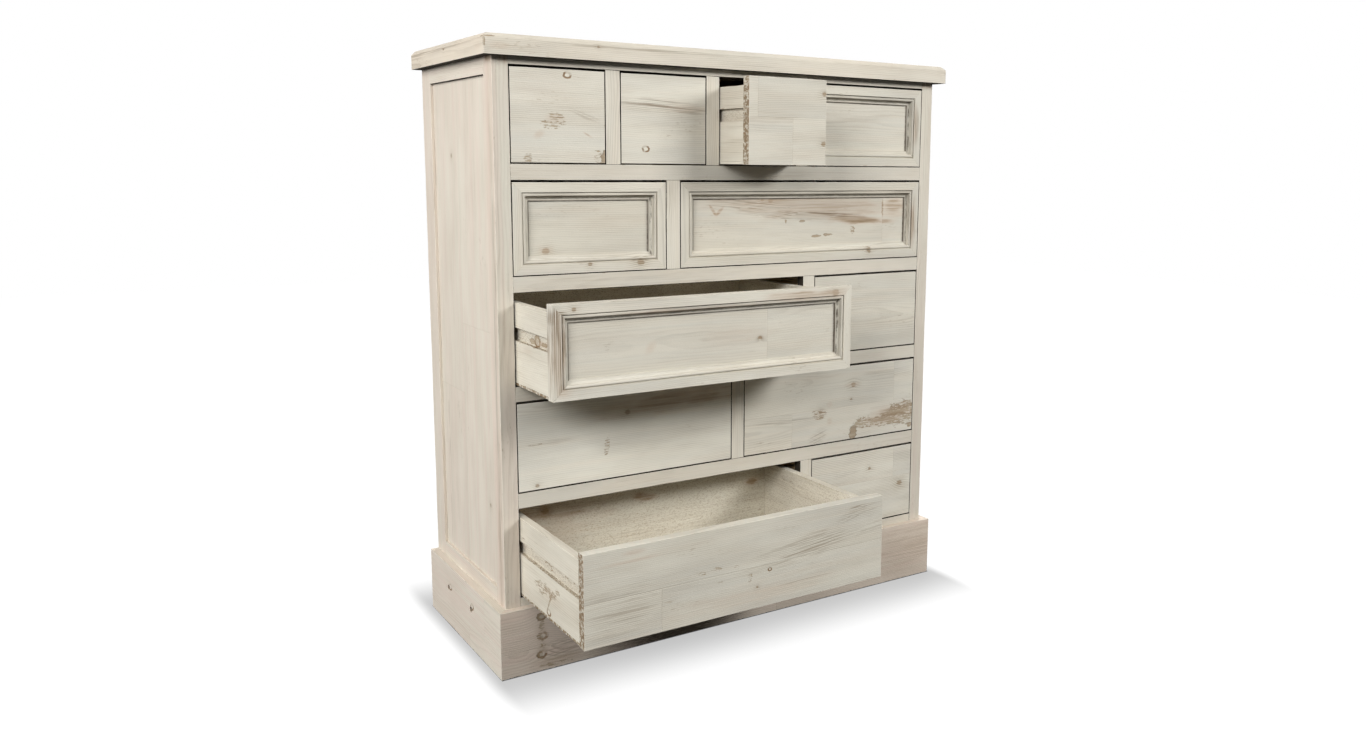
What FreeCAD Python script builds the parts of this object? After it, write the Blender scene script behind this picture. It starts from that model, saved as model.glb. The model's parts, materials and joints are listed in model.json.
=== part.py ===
import FreeCAD, Part
import math
import os
import re
import Sketcher
from FreeCAD import Placement, Rotation, Vector

# A chest of twelve drawers in painted softwood, in millimetres.
# +Z is up, -Y is the front and the origin is on the floor under the middle of the carcass.
# The drawers are numbered by row from the top and lettered from the left: 1a is the top left one.
# Drawers 1c, 3a and 5a stand open by the three "pulled" sizes, and the others are shut.

SIZES = [
    # carcass
    ("case_width", 1010, "over the posts"),
    ("case_depth", 395, "front of the posts to the back panel's rear face"),
    ("post_width", 30, "posts, seen from the front"),
    ("front_post_depth", 42, "front posts, seen from the side"),
    ("rear_post_depth", 50, "rear posts, seen from the side"),
    ("rail_height", 29, "rails between the rows, and the top rail"),
    ("front_rail_depth", 60, "front rails, front to back"),
    ("rear_rail_depth", 40, "rear rails, front to back"),
    ("divider_width", 30, "uprights between two drawers of a row"),
    ("divider_depth", 20, "uprights, front to back, and the bottom rails"),
    ("partition_thickness", 18, "boards behind the uprights that carry the runners"),
    ("bottom_rail_clearance", 40, "floor to the underside of the bottom rails"),
    ("bottom_rail_show", 17, "front bottom rail, above the plinth"),
    # frame and panel sides
    ("side_rail_thickness", 24, "rails between the posts of a side"),
    ("side_top_rail_height", 46, "upper rail of a side"),
    ("side_bottom_rail_show", 29, "lower rail of a side, above the plinth"),
    ("side_panel_thickness", 12, "panel of a side"),
    ("side_panel_recess", 6, "panel of a side, behind the face of its frame"),
    ("panel_groove_depth", 8, "groove of the frame that holds the panel"),
    ("panel_slack", 0.5, "panel's edge to the bottom of its groove"),
    # back and floor
    ("back_panel_thickness", 6, "plywood back"),
    ("back_rebate_width", 12, "rebate of the rear posts for the back"),
    ("floor_panel_thickness", 12, "panel under the lowest drawers"),
    ("cleat_size", 20, "square battens under the floor panel"),
    ("bearer_thickness", 24, "middle bearer that stands on the floor"),
    # top
    ("top_board_thickness", 20, "boards of the top"),
    ("edging_thickness", 20, "mitred edging round the top"),
    ("edging_height", 36, "mitred edging round the top"),
    ("edging_chamfer", 8, "upper outer edge of the edging"),
    # plinth
    ("plinth_height", 128, "plinth boards"),
    ("plinth_thickness", 16, "plinth boards"),
    ("screw_height", 80, "plinth screws, above the floor"),
    ("screw_clearance_front", 104, "first plinth screw, behind the front posts"),
    ("screw_clearance_rear", 65, "second plinth screw, ahead of the rear posts"),
    ("screw_head_radius", 5, "plinth screw"),
    ("screw_head_height", 3, "plinth screw"),
    ("screw_shank_radius", 2.2, "plinth screw"),
    ("screw_bite", 14, "plinth screw, into the rail behind the plinth"),
    ("counterbore_depth", 5, "hole over a screw's head"),
    ("counterbore_play", 1, "hole over a screw's head, round the head"),
    # drawer openings
    ("opening_height", 170, "every opening"),
    ("small_opening", 184, "openings 1a, 1b and 1c"),
    ("medium_opening", 310, "opening 2a"),
    ("wide_opening", 635, "openings 3a and 5a"),
    # drawer fronts
    ("front_thickness", 20, "every drawer front"),
    ("front_gap_side", 1.5, "front to the upright beside it"),
    ("front_gap_bottom", 1.5, "front to the rail below it"),
    ("front_gap_top", 3.5, "front to the rail above it"),
    ("frame_flat", 18, "flat face of a moulded frame, outside its moulding"),
    ("quirk_width", 1.5, "groove between the flat and the bead"),
    ("bead_radius", 3, "bead of the moulding, and the quirk's depth"),
    ("bead_step", 1, "step from the bead down to the cove"),
    ("cove_radius", 5.5, "cove of the moulding"),
    ("fillet_width", 2.5, "flat edge of the moulding beside the panel"),
    ("front_panel_recess", 12, "panel of a moulded front, behind its face"),
    ("front_panel_lap", 8.5, "edge of the panel behind the moulding"),
    # drawer boxes
    ("box_side_thickness", 15, "sides of a drawer box"),
    ("box_back_thickness", 15, "back of a drawer box"),
    ("box_inset_left", 1, "left side, in from the front's end"),
    ("box_inset_right", 13, "right side, in from the front's end"),
    ("box_rear_gap", 6.5, "drawer box to the back panel"),
    ("side_drop", 14, "top of the sides, below the top of the front"),
    ("small_side_drop", 16, "the same on the top row"),
    ("ply_thickness", 5, "plywood bottom of a drawer"),
    ("ply_raise", 1, "plywood bottom, above the front's lower edge"),
    # runners
    ("groove_centre", 96, "middle of the side groove, above the opening's lower edge"),
    ("groove_height", 24, "side groove"),
    ("groove_depth", 7, "side groove"),
    ("runner_top_play", 0.3, "runner to the top of its groove, which rests on it"),
    ("runner_bottom_play", 1.2, "runner to the bottom of its groove"),
    ("runner_tip_play", 1, "runner to the floor of its groove"),
    ("runner_setback", 2, "runner's end, behind the shut front"),
    ("runner_rear_gap", 1, "runner's end to the back panel"),
    # drawers that stand open
    ("pulled_1c", 103, "drawer 1c"),
    ("pulled_3a", 165.5, "drawer 3a"),
    ("pulled_5a", 277, "drawer 5a"),
]

ROWS = 5
TOP_PLANKS = 4

# Places, as formulas of the sizes.
LEFT = "(0 - case_width / 2)"
RIGHT = "(case_width / 2)"
FRONT = "(0 - case_depth / 2)"
REAR = "(case_depth / 2)"
INNER_LEFT = f"({LEFT} + post_width)"
INNER_RIGHT = f"({RIGHT} - post_width)"
BACK_PANEL_FACE = f"({REAR} - back_panel_thickness)"
LOWEST_OPENING = "(plinth_height + bottom_rail_show)"
CASE_TOP = f"({LOWEST_OPENING} + {ROWS} * (opening_height + rail_height))"
SIDE_BOTTOM_RAIL_TOP = "(plinth_height + side_bottom_rail_show)"
SIDE_TOP_RAIL_FOOT = f"({CASE_TOP} - side_top_rail_height)"
FLOOR_PANEL_FOOT = f"({LOWEST_OPENING} - floor_panel_thickness)"
FRONT_POST_BACK = f"({FRONT} + front_post_depth)"
REAR_POST_FRONT = f"({REAR} - rear_post_depth)"
SCREW_PLACES = (f"({FRONT_POST_BACK} + screw_clearance_front)",
                f"({REAR_POST_FRONT} - screw_clearance_rear)")
MEMBER_WIDTH = "(frame_flat + quirk_width + 2 * bead_radius + cove_radius + fillet_width)"

# The openings of each row, from the left: letter, width and whether the front is framed.
REST_OF_ROW = None
OPENINGS = {
    1: [("a", "small_opening", False), ("b", "small_opening", False),
        ("c", "small_opening", False), ("d", REST_OF_ROW, True)],
    2: [("a", "medium_opening", True), ("b", REST_OF_ROW, True)],
    3: [("a", "wide_opening", True), ("b", REST_OF_ROW, False)],
    4: [("a", f"(({INNER_RIGHT} - {INNER_LEFT} - divider_width) / 2)", False),
        ("b", REST_OF_ROW, False)],
    5: [("a", "wide_opening", False), ("b", REST_OF_ROW, False)],
}
PULLED = {"1c": "pulled_1c", "3a": "pulled_3a", "5a": "pulled_5a"}

doc = FreeCAD.newDocument("chest_of_drawers")
sheet = doc.addObject("Spreadsheet::Sheet", "Sizes")
for row, (alias, value, note) in enumerate(SIZES, start=1):
    sheet.set(f"A{row}", alias)
    sheet.set(f"B{row}", str(value))
    sheet.set(f"C{row}", note)
    sheet.setAlias(f"B{row}", alias)
doc.recompute()

nodes = []


def formula(text):
    """An expression for FreeCAD: each plain word in the text is a cell of the sheet."""
    return re.sub(r"[a-z]\w*", lambda word: "Sizes." + word.group(), str(text))


def measure(text):
    """The present value of a formula."""
    return float(sheet.evalExpression(formula(text)))


def place(piece, at, turn=None):
    """Puts a piece's own origin at three formulas, after turning it about one axis."""
    if turn:
        axis, angle = turn
        piece.Placement = Placement(Vector(), Rotation(axis, angle))
    for name, text in zip("xyz", at):
        piece.setExpression(f"Placement.Base.{name}", formula(text))
    return piece


def board(name, x, y, z):
    """A plain rectangular board, each direction given as (low, high)."""
    piece = doc.addObject("Part::Box", name)
    for side, (low, high) in zip(("Length", "Width", "Height"), (x, y, z)):
        piece.setExpression(side, formula(f"{high} - {low}"))
    return place(piece, (x[0], y[0], z[0]))


def cylinder(name, radius, length, at, turn):
    """A round bar, which runs from its own origin along +Z before it is turned."""
    piece = doc.addObject("Part::Cylinder", name)
    piece.setExpression("Radius", formula(radius))
    piece.setExpression("Height", formula(length))
    return place(piece, at, turn)


def node(name, pieces):
    """One named sub-part, which may hold several separate solids."""
    holder = pieces[0]
    if len(pieces) > 1:
        holder = doc.addObject("Part::Compound", name)
        holder.Links = pieces
    holder.Label = name
    nodes.append(holder)
    return holder


def arc_centre(start, end, radius, clockwise):
    chord = end - start
    height = math.sqrt(max(radius ** 2 - chord.Length ** 2 / 4, 0))
    left = Vector(-chord.y, chord.x, 0).normalize()
    return (start + end) / 2 + left * (-height if clockwise else height)


def outline(body, name, plane_role, loops):
    """A sketch on one of the body's own planes.

    Each loop is a list of corners (u, v). A corner (u, v, radius, clockwise) ends an arc.
    Every corner is held by its distances from the body's origin.
    """
    sketch = body.newObject("Sketcher::SketchObject", name)
    plane = next(item for item in body.Origin.OriginFeatures if item.Role == plane_role)
    sketch.AttachmentSupport = [(plane, "")]
    sketch.MapMode = "FlatFace"
    for loop in loops:
        corners = [Vector(measure(corner[0]), measure(corner[1]), 0) for corner in loop]
        first = sketch.GeometryCount
        ends = []
        for index, corner in enumerate(corners):
            after = (index + 1) % len(corners)
            start, end = corner, corners[after]
            if len(loop[after]) == 2:
                sketch.addGeometry(Part.LineSegment(start, end))
                ends.append((1, 2))
                continue
            radius, clockwise = loop[after][2:]
            centre = arc_centre(start, end, measure(radius), clockwise)
            low, high = (end, start) if clockwise else (start, end)
            angles = [math.atan2(point.y - centre.y, point.x - centre.x) for point in (low, high)]
            if angles[1] < angles[0]:
                angles[1] += 2 * math.pi
            circle = Part.Circle(centre, Vector(0, 0, 1), measure(radius))
            sketch.addGeometry(Part.ArcOfCircle(circle, *angles))
            ends.append((2, 1) if clockwise else (1, 2))
        for index, corner in enumerate(loop):
            here, after = first + index, first + (index + 1) % len(loop)
            tail, head = ends[index]
            sketch.addConstraint(
                Sketcher.Constraint("Coincident", here, head, after, ends[(index + 1) % len(loop)][0]))
            for kind, axis, text in (("DistanceX", -2, corner[0]), ("DistanceY", -1, corner[1])):
                if text == "0":
                    sketch.addConstraint(Sketcher.Constraint("PointOnObject", here, tail, axis))
                else:
                    held = sketch.addConstraint(
                        Sketcher.Constraint(kind, -1, 1, here, tail, measure(text)))
                    sketch.setExpression(f"Constraints[{held}]", formula(text))
            if len(loop[(index + 1) % len(loop)]) > 2:
                radius = loop[(index + 1) % len(loop)][2]
                held = sketch.addConstraint(Sketcher.Constraint("Radius", here, measure(radius)))
                sketch.setExpression(f"Constraints[{held}]", formula(radius))
    return sketch


SECTION_PLANE = {"x": "YZ_Plane", "y": "XZ_Plane", "z": "XY_Plane"}


def bar(name, along, section, length, at, turn=None):
    """A length of constant section, which runs from its own origin along +X, +Y or +Z."""
    body = doc.addObject("PartDesign::Body", name)
    sketch = outline(body, f"{name}_section", SECTION_PLANE[along], [section])
    pad = body.newObject("PartDesign::Pad", f"{name}_pad")
    pad.Profile = sketch
    pad.setExpression("Length", formula(length))
    # The XZ plane faces -Y, so a bar along +Y is padded against it.
    pad.Reversed = along == "y"
    return place(body, at, turn)


def mitre(body, plane_role, length, depth, ends):
    """Cuts a bar that runs along its own +X to 45 degrees, at its "start", its "end" or both.

    The bar keeps its full length at its outer edge and loses its depth at the inner one.
    """
    corners = {
        "start": [("0", "0"), (depth, depth), ("0", depth)],
        "end": [(length, "0"), (length, depth), (f"{length} - {depth}", depth)],
    }
    solid = body.Tip
    sketch = outline(body, f"{body.Name}_mitres", plane_role, [corners[end] for end in ends])
    pocket = body.newObject("PartDesign::Pocket", f"{body.Name}_mitre_cut")
    pocket.Profile = sketch
    pocket.Type = "ThroughAll"
    pocket.Midplane = True
    doc.recompute()
    if pocket.Shape.Volume >= solid.Shape.Volume:
        raise RuntimeError(f"The mitres of {body.Name} cut nothing")
    return body


def rectangle(width, height):
    return [("0", "0"), (width, "0"), (width, height), ("0", height)]


def mirrored(section, width):
    """The same section seen from the other side, within the same width."""
    return [(f"{width} - {u}", v) for u, v in section]


def opening_foot(row):
    return f"({LOWEST_OPENING} + {ROWS - row} * (opening_height + rail_height))"


def opening_head(row):
    return f"({opening_foot(row)} + opening_height)"


def openings(row):
    """Each opening of a row, as letter, left edge, right edge and whether its front is framed."""
    left = INNER_LEFT
    found = []
    for letter, width, framed in OPENINGS[row]:
        right = INNER_RIGHT if width is REST_OF_ROW else f"({left} + {width})"
        found.append((letter, left, right, framed))
        left = f"({right} + divider_width)"
    return found


# ---------------------------------------------------------------- top

def build_top():
    planks = []
    for plank in range(TOP_PLANKS):
        y = [f"{FRONT} + {edge} * case_depth / {TOP_PLANKS}" for edge in (plank, plank + 1)]
        planks.append(board(f"top_plank_{plank + 1}", (LEFT, RIGHT), [f"({edge})" for edge in y],
                            (CASE_TOP, f"({CASE_TOP} + top_board_thickness)")))
    node("top_boards", planks)

    section = [("0", "0"), ("edging_thickness", "0"), ("edging_thickness", "edging_height"),
               ("edging_chamfer", "edging_height"), ("0", "edging_height - edging_chamfer")]
    foot = f"({CASE_TOP} + top_board_thickness - edging_height)"
    node("top_edging", mitred_surround("edging", section, "edging_thickness", foot))


def mitred_surround(name, section, thickness, foot):
    """Three boards round the front and the sides of the carcass, mitred at the front corners."""
    front_length = f"(case_width + 2 * {thickness})"
    side_length = f"(case_depth + {thickness})"
    outer_left = f"({LEFT} - {thickness})"
    outer_right = f"({RIGHT} + {thickness})"
    outer_front = f"({FRONT} - {thickness})"
    layout = [
        ("front", front_length, (outer_left, outer_front, foot), 0, ("start", "end")),
        ("left", side_length, (outer_left, REAR, foot), -90, ("end",)),
        ("right", side_length, (outer_right, outer_front, foot), 90, ("start",)),
    ]
    boards = []
    for side, length, at, angle, ends in layout:
        piece = bar(f"{name}_{side}", "x", section, length, at, (Vector(0, 0, 1), angle))
        boards.append(mitre(piece, "XY_Plane", length, thickness, ends))
    return boards


# ---------------------------------------------------------------- carcass

def build_posts():
    """Corner posts, grooved for the side panels, the rear ones rebated for the back."""
    groove_near = "side_panel_recess"
    groove_far = "(side_panel_recess + side_panel_thickness)"
    front_groove = "(front_post_depth - panel_groove_depth)"
    front_section = [
        ("0", "0"), ("post_width", "0"), ("post_width", "front_post_depth"),
        (groove_far, "front_post_depth"), (groove_far, front_groove),
        (groove_near, front_groove), (groove_near, "front_post_depth"),
        ("0", "front_post_depth")]
    rebate = "(rear_post_depth - back_panel_thickness)"
    rebate_edge = "(post_width - back_rebate_width)"
    rear_section = [
        ("0", "0"), (groove_near, "0"), (groove_near, "panel_groove_depth"),
        (groove_far, "panel_groove_depth"), (groove_far, "0"), ("post_width", "0"),
        ("post_width", rebate), (rebate_edge, rebate), (rebate_edge, "rear_post_depth"),
        ("0", "rear_post_depth")]
    for end, section, y in (("front", front_section, FRONT), ("rear", rear_section, REAR_POST_FRONT)):
        left = bar(f"post_{end}_left", "z", section, CASE_TOP, (LEFT, y, "0"))
        right = bar(f"post_{end}_right", "z", mirrored(section, "post_width"), CASE_TOP,
                    (INNER_RIGHT, y, "0"))
        node(f"{end}_posts", [left, right])


def build_side(side):
    """The two grooved rails and the panel between the posts of one side."""
    outer = LEFT if side == "left" else f"({RIGHT} - side_rail_thickness)"
    far = "(side_panel_recess + side_panel_thickness)"
    length = f"({REAR_POST_FRONT} - {FRONT_POST_BACK})"
    lower_height = f"({SIDE_BOTTOM_RAIL_TOP} - bottom_rail_clearance)"
    lower_floor = f"({lower_height} - panel_groove_depth)"
    lower = [
        ("0", "0"), ("side_rail_thickness", "0"), ("side_rail_thickness", lower_height),
        (far, lower_height), (far, lower_floor),
        ("side_panel_recess", lower_floor), ("side_panel_recess", lower_height),
        ("0", lower_height)]
    upper = [
        ("0", "0"), ("side_panel_recess", "0"), ("side_panel_recess", "panel_groove_depth"),
        (far, "panel_groove_depth"), (far, "0"), ("side_rail_thickness", "0"),
        ("side_rail_thickness", "side_top_rail_height"), ("0", "side_top_rail_height")]
    if side == "right":
        lower = mirrored(lower, "side_rail_thickness")
        upper = mirrored(upper, "side_rail_thickness")
    lower_rail = bar(f"side_{side}_lower_rail", "y", lower, length,
                     (outer, FRONT_POST_BACK, "bottom_rail_clearance"))
    upper_rail = bar(f"side_{side}_upper_rail", "y", upper, length,
                     (outer, FRONT_POST_BACK, SIDE_TOP_RAIL_FOOT))
    holes = []
    for number, y in enumerate(SCREW_PLACES, start=1):
        holes.append(screw_hole(side, f"rail_hole_{side}_{number}", y, "screw_shank_radius",
                                "0", "plinth_thickness + screw_bite"))
    drilled = cut(f"side_{side}_lower_rail_drilled", lower_rail, holes)
    node(f"side_{side}_rails", [drilled, upper_rail])

    near = f"({LEFT} + side_panel_recess)"
    x = (near, f"({near} + side_panel_thickness)")
    if side == "right":
        near = f"({RIGHT} - side_panel_recess)"
        x = (f"({near} - side_panel_thickness)", near)
    hold = "(panel_groove_depth - panel_slack)"
    node(f"side_{side}_panel", [board(
        f"side_{side}_board", x,
        (f"({FRONT_POST_BACK} - {hold})", f"({REAR_POST_FRONT} + {hold})"),
        (f"({SIDE_BOTTOM_RAIL_TOP} - {hold})", f"({SIDE_TOP_RAIL_FOOT} + {hold})"))])


def build_rails():
    """Front and rear rails over, between and under the five rows."""
    fronts = []
    rears = []
    x = (INNER_LEFT, INNER_RIGHT)
    for row in range(1, ROWS + 1):
        z = (opening_head(row), f"({opening_head(row)} + rail_height)")
        fronts.append(board(f"front_rail_{row}", x, (FRONT, f"({FRONT} + front_rail_depth)"), z))
        rears.append(board(f"rear_rail_{row}", x,
                           (f"({BACK_PANEL_FACE} - rear_rail_depth)", BACK_PANEL_FACE), z))
    z = ("bottom_rail_clearance", LOWEST_OPENING)
    fronts.append(board("front_bottom_rail", x, (FRONT, f"({FRONT} + divider_depth)"), z))
    rears.append(board("rear_bottom_rail", x,
                       (f"({BACK_PANEL_FACE} - divider_depth)", BACK_PANEL_FACE), z))
    node("front_rails", fronts)
    node("rear_rails", rears)


def build_uprights():
    """Uprights between the drawers of a row, each with a partition behind it."""
    dividers = []
    partitions = []
    for row in OPENINGS:
        z = (opening_foot(row), opening_head(row))
        for letter, _, right, _ in openings(row)[:-1]:
            edge = f"({right} + divider_width)"
            dividers.append(board(f"divider_{row}{letter}", (right, edge),
                                  (FRONT, f"({FRONT} + divider_depth)"), z))
            partitions.append(board(f"partition_{row}{letter}", partition_faces(right),
                                    (f"({FRONT} + divider_depth)", BACK_PANEL_FACE), z))
    node("front_dividers", dividers)
    node("partitions", partitions)


def partition_faces(divider_left):
    middle = f"{divider_left} + divider_width / 2"
    return (f"({middle} - partition_thickness / 2)", f"({middle} + partition_thickness / 2)")


def build_back_and_floor():
    rebate = "(post_width - back_rebate_width + panel_slack)"
    node("back_panel", [board(
        "back_board", (f"({LEFT} + {rebate})", f"({RIGHT} - {rebate})"),
        (BACK_PANEL_FACE, REAR), ("bottom_rail_clearance", CASE_TOP))])

    between_rails = (f"({FRONT} + divider_depth)", f"({BACK_PANEL_FACE} - divider_depth)")
    node("floor_panel", [board(
        "floor_board", (INNER_LEFT, INNER_RIGHT), between_rails, (FLOOR_PANEL_FOOT, LOWEST_OPENING))])

    bearer = board("middle_bearer", ("(0 - bearer_thickness / 2)", "(bearer_thickness / 2)"),
                   between_rails, ("0", FLOOR_PANEL_FOOT))
    cleat_z = (f"({FLOOR_PANEL_FOOT} - cleat_size)", FLOOR_PANEL_FOOT)
    cleat_y = (FRONT_POST_BACK, REAR_POST_FRONT)
    rail_left = f"({LEFT} + side_rail_thickness)"
    rail_right = f"({RIGHT} - side_rail_thickness)"
    cleat_left = board("cleat_left", (rail_left, f"({rail_left} + cleat_size)"), cleat_y, cleat_z)
    cleat_right = board("cleat_right", (f"({rail_right} - cleat_size)", rail_right), cleat_y, cleat_z)
    node("floor_bearers", [bearer, cleat_left, cleat_right])


# ---------------------------------------------------------------- plinth

def cut(name, stock, tools):
    """The stock with every tool taken out of it, one after the other."""
    for number, tool in enumerate(tools, start=1):
        part_cut = doc.addObject("Part::Cut", f"{name}_{number}")
        part_cut.Base = stock
        part_cut.Tool = tool
        stock = part_cut
    return stock


def screw_hole(side, name, y, radius, start, end):
    """A round bar square to the plinth's side, from start to end under its outer face."""
    if side == "left":
        x, angle = f"({LEFT} - plinth_thickness + {start})", 90
    else:
        x, angle = f"({RIGHT} + plinth_thickness - {start})", -90
    return cylinder(name, radius, f"{end} - {start}", (x, y, "screw_height"),
                    (Vector(0, 1, 0), angle))


def build_plinth():
    section = rectangle("plinth_thickness", "plinth_height")
    boards = mitred_surround("plinth_board", section, "plinth_thickness", "0")
    screws = []
    for side, stock in (("left", boards[1]), ("right", boards[2])):
        holes = []
        for number, y in enumerate(SCREW_PLACES, start=1):
            mark = f"{side}_{number}"
            holes.append(screw_hole(side, f"counterbore_{mark}", y,
                                    "screw_head_radius + counterbore_play", "0", "counterbore_depth"))
            holes.append(screw_hole(side, f"plinth_hole_{mark}", y, "screw_shank_radius",
                                    "0", "plinth_thickness"))
            head = screw_hole(side, f"screw_head_{mark}", y, "screw_head_radius",
                              "(counterbore_depth - screw_head_height)", "counterbore_depth")
            shank = screw_hole(side, f"screw_shank_{mark}", y, "screw_shank_radius",
                               "(counterbore_depth - screw_head_height)",
                               "(plinth_thickness + screw_bite)")
            screw = doc.addObject("Part::Fuse", f"screw_{mark}")
            screw.Base = head
            screw.Tool = shank
            screws.append(screw)
        node(f"plinth_{side}", [cut(f"plinth_{side}_drilled", stock, holes)])
    node("plinth_front", [boards[0]])
    node("plinth_screws", screws)


# ---------------------------------------------------------------- drawers

class Drawer:
    """The formulas of one drawer's faces, with its box set in its opening and pulled out."""

    def __init__(self, row, letter, left, right):
        self.name = f"drawer_{row}{letter}"
        pulled = PULLED.get(f"{row}{letter}", "0")
        self.left = f"({left} + front_gap_side)"
        self.right = f"({right} - front_gap_side)"
        self.foot = f"({opening_foot(row)} + front_gap_bottom)"
        self.head = f"({opening_head(row)} - front_gap_top)"
        self.face = f"({FRONT} - {pulled})"
        self.front_back = f"({self.face} + front_thickness)"
        self.rear = f"({BACK_PANEL_FACE} - box_rear_gap - {pulled})"
        self.box_left = f"({self.left} + box_inset_left)"
        self.box_right = f"({self.right} - box_inset_right)"
        self.ply_foot = f"({self.foot} + ply_raise)"
        self.box_foot = f"({self.ply_foot} + ply_thickness)"
        drop = "small_side_drop" if row == 1 else "side_drop"
        self.box_head = f"({self.head} - {drop})"
        self.groove_middle = f"({opening_foot(row)} + groove_centre)"


def build_drawer_box(drawer):
    """Two grooved sides with the back between them, standing on a plywood bottom."""
    height = f"({drawer.box_head} - {drawer.box_foot})"
    groove_low = f"({drawer.groove_middle} - groove_height / 2 - {drawer.box_foot})"
    groove_high = f"({groove_low} + groove_height)"
    section = [
        ("0", "0"), ("box_side_thickness", "0"), ("box_side_thickness", height), ("0", height),
        ("0", groove_high), ("groove_depth", groove_high), ("groove_depth", groove_low),
        ("0", groove_low)]
    length = f"({drawer.rear} - {drawer.front_back})"
    left = bar(f"{drawer.name}_side_left", "y", section, length,
               (drawer.box_left, drawer.front_back, drawer.box_foot))
    right = bar(f"{drawer.name}_side_right", "y", mirrored(section, "box_side_thickness"), length,
                (f"({drawer.box_right} - box_side_thickness)", drawer.front_back, drawer.box_foot))
    back = board(f"{drawer.name}_back",
                 (f"({drawer.box_left} + box_side_thickness)",
                  f"({drawer.box_right} - box_side_thickness)"),
                 (f"({drawer.rear} - box_back_thickness)", drawer.rear),
                 (drawer.box_foot, drawer.box_head))
    node(f"{drawer.name}_box", [left, right, back])
    node(f"{drawer.name}_bottom", [board(
        f"{drawer.name}_ply", (drawer.box_left, drawer.box_right),
        (drawer.front_back, drawer.rear), (drawer.ply_foot, drawer.box_foot))])


def build_plain_front(drawer):
    node(f"{drawer.name}_front", [board(
        f"{drawer.name}_front_board", (drawer.left, drawer.right),
        (drawer.face, drawer.front_back), (drawer.foot, drawer.head))])


def build_framed_front(drawer):
    """Four moulded pieces, mitred round a panel that lies in their rebate."""
    quirk_edge = "(frame_flat + quirk_width)"
    bead_crown = f"({quirk_edge} + bead_radius)"
    bead_edge = f"({quirk_edge} + 2 * bead_radius)"
    cove_start = "(bead_radius + bead_step)"
    cove_floor = f"({cove_start} + cove_radius)"
    lap_edge = f"({MEMBER_WIDTH} - front_panel_lap)"
    section = [
        ("0", "0"), ("0", "frame_flat"), ("bead_radius", "frame_flat"),
        ("bead_radius", quirk_edge), ("0", bead_crown, "bead_radius", True),
        ("bead_radius", bead_edge, "bead_radius", True), (cove_start, bead_edge),
        (cove_floor, f"({bead_edge} + cove_radius)", "cove_radius", False),
        (cove_floor, MEMBER_WIDTH), ("front_panel_recess", MEMBER_WIDTH),
        ("front_panel_recess", lap_edge), ("front_thickness", lap_edge), ("front_thickness", "0")]
    width = f"({drawer.right} - {drawer.left})"
    height = f"({drawer.head} - {drawer.foot})"
    layout = [
        ("bottom", width, (drawer.left, drawer.face, drawer.foot), 0),
        ("left", height, (drawer.left, drawer.face, drawer.head), 90),
        ("top", width, (drawer.right, drawer.face, drawer.head), 180),
        ("right", height, (drawer.right, drawer.face, drawer.foot), -90),
    ]
    members = []
    for side, length, at, angle in layout:
        piece = bar(f"{drawer.name}_frame_{side}", "x", section, length, at, (Vector(0, 1, 0), angle))
        members.append(mitre(piece, "XZ_Plane", length, MEMBER_WIDTH, ("start", "end")))
    node(f"{drawer.name}_front_frame", members)
    node(f"{drawer.name}_front_panel", [board(
        f"{drawer.name}_panel_board",
        (f"({drawer.left} + {lap_edge})", f"({drawer.right} - {lap_edge})"),
        (f"({drawer.face} + front_panel_recess)", drawer.front_back),
        (f"({drawer.foot} + {lap_edge})", f"({drawer.head} - {lap_edge})"))])


def build_runners(row, drawers, walls):
    """A batten on each side of every drawer of a row, from its wall into the side's groove."""
    reach = "(groove_depth - runner_tip_play)"
    y = (f"({FRONT} + front_thickness + runner_setback)", f"({BACK_PANEL_FACE} - runner_rear_gap)")
    runners = []
    for drawer, (wall_left, wall_right) in zip(drawers, walls):
        z = (f"({drawer.groove_middle} - groove_height / 2 + runner_bottom_play)",
             f"({drawer.groove_middle} + groove_height / 2 - runner_top_play)")
        runners.append(board(f"{drawer.name}_runner_left",
                             (wall_left, f"({drawer.box_left} + {reach})"), y, z))
        runners.append(board(f"{drawer.name}_runner_right",
                             (f"({drawer.box_right} - {reach})", wall_right), y, z))
    return runners


def build_rows():
    runners = []
    for row in OPENINGS:
        found = openings(row)
        drawers = []
        walls = []
        for letter, left, right, framed in found:
            drawer = Drawer(row, letter, left, right)
            drawers.append(drawer)
            if framed:
                build_framed_front(drawer)
            else:
                build_plain_front(drawer)
            build_drawer_box(drawer)
            left_partition = partition_faces(f"({left} - divider_width)")
            right_partition = partition_faces(right)
            walls.append((INNER_LEFT if left is INNER_LEFT else left_partition[1],
                          INNER_RIGHT if right is INNER_RIGHT else right_partition[0]))
        runners += build_runners(row, drawers, walls)
    node("drawer_runners", runners)


build_top()
build_posts()
for side in ("left", "right"):
    build_side(side)
build_rails()
build_uprights()
build_back_and_floor()
build_plinth()
build_rows()

doc.recompute()
for item in doc.Objects:
    if {"Invalid", "Error"} & set(item.State):
        raise RuntimeError(f"{item.Label} could not be computed: {item.State}")
for holder in nodes:
    if holder.Shape.isNull() or not holder.Shape.isValid():
        raise RuntimeError(f"{holder.Label} has no valid shape")

os.makedirs("parts", exist_ok=True)
for holder in nodes:
    holder.Shape.exportStep(f"parts/{holder.Label}.step")
print(f"{len(nodes)} nodes, {sum(len(holder.Shape.Solids) for holder in nodes)} solids")
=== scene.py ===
"""A chest of twelve drawers in worn, whitewashed pine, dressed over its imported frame, in metres."""
import functools
import json
import math
import random

import bmesh
import bpy
from bpy.props import FloatProperty, FloatVectorProperty, PointerProperty
from bpy.types import NodeSocket, Operator, Panel, PropertyGroup
from mathutils import Matrix, Vector, noise

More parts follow.
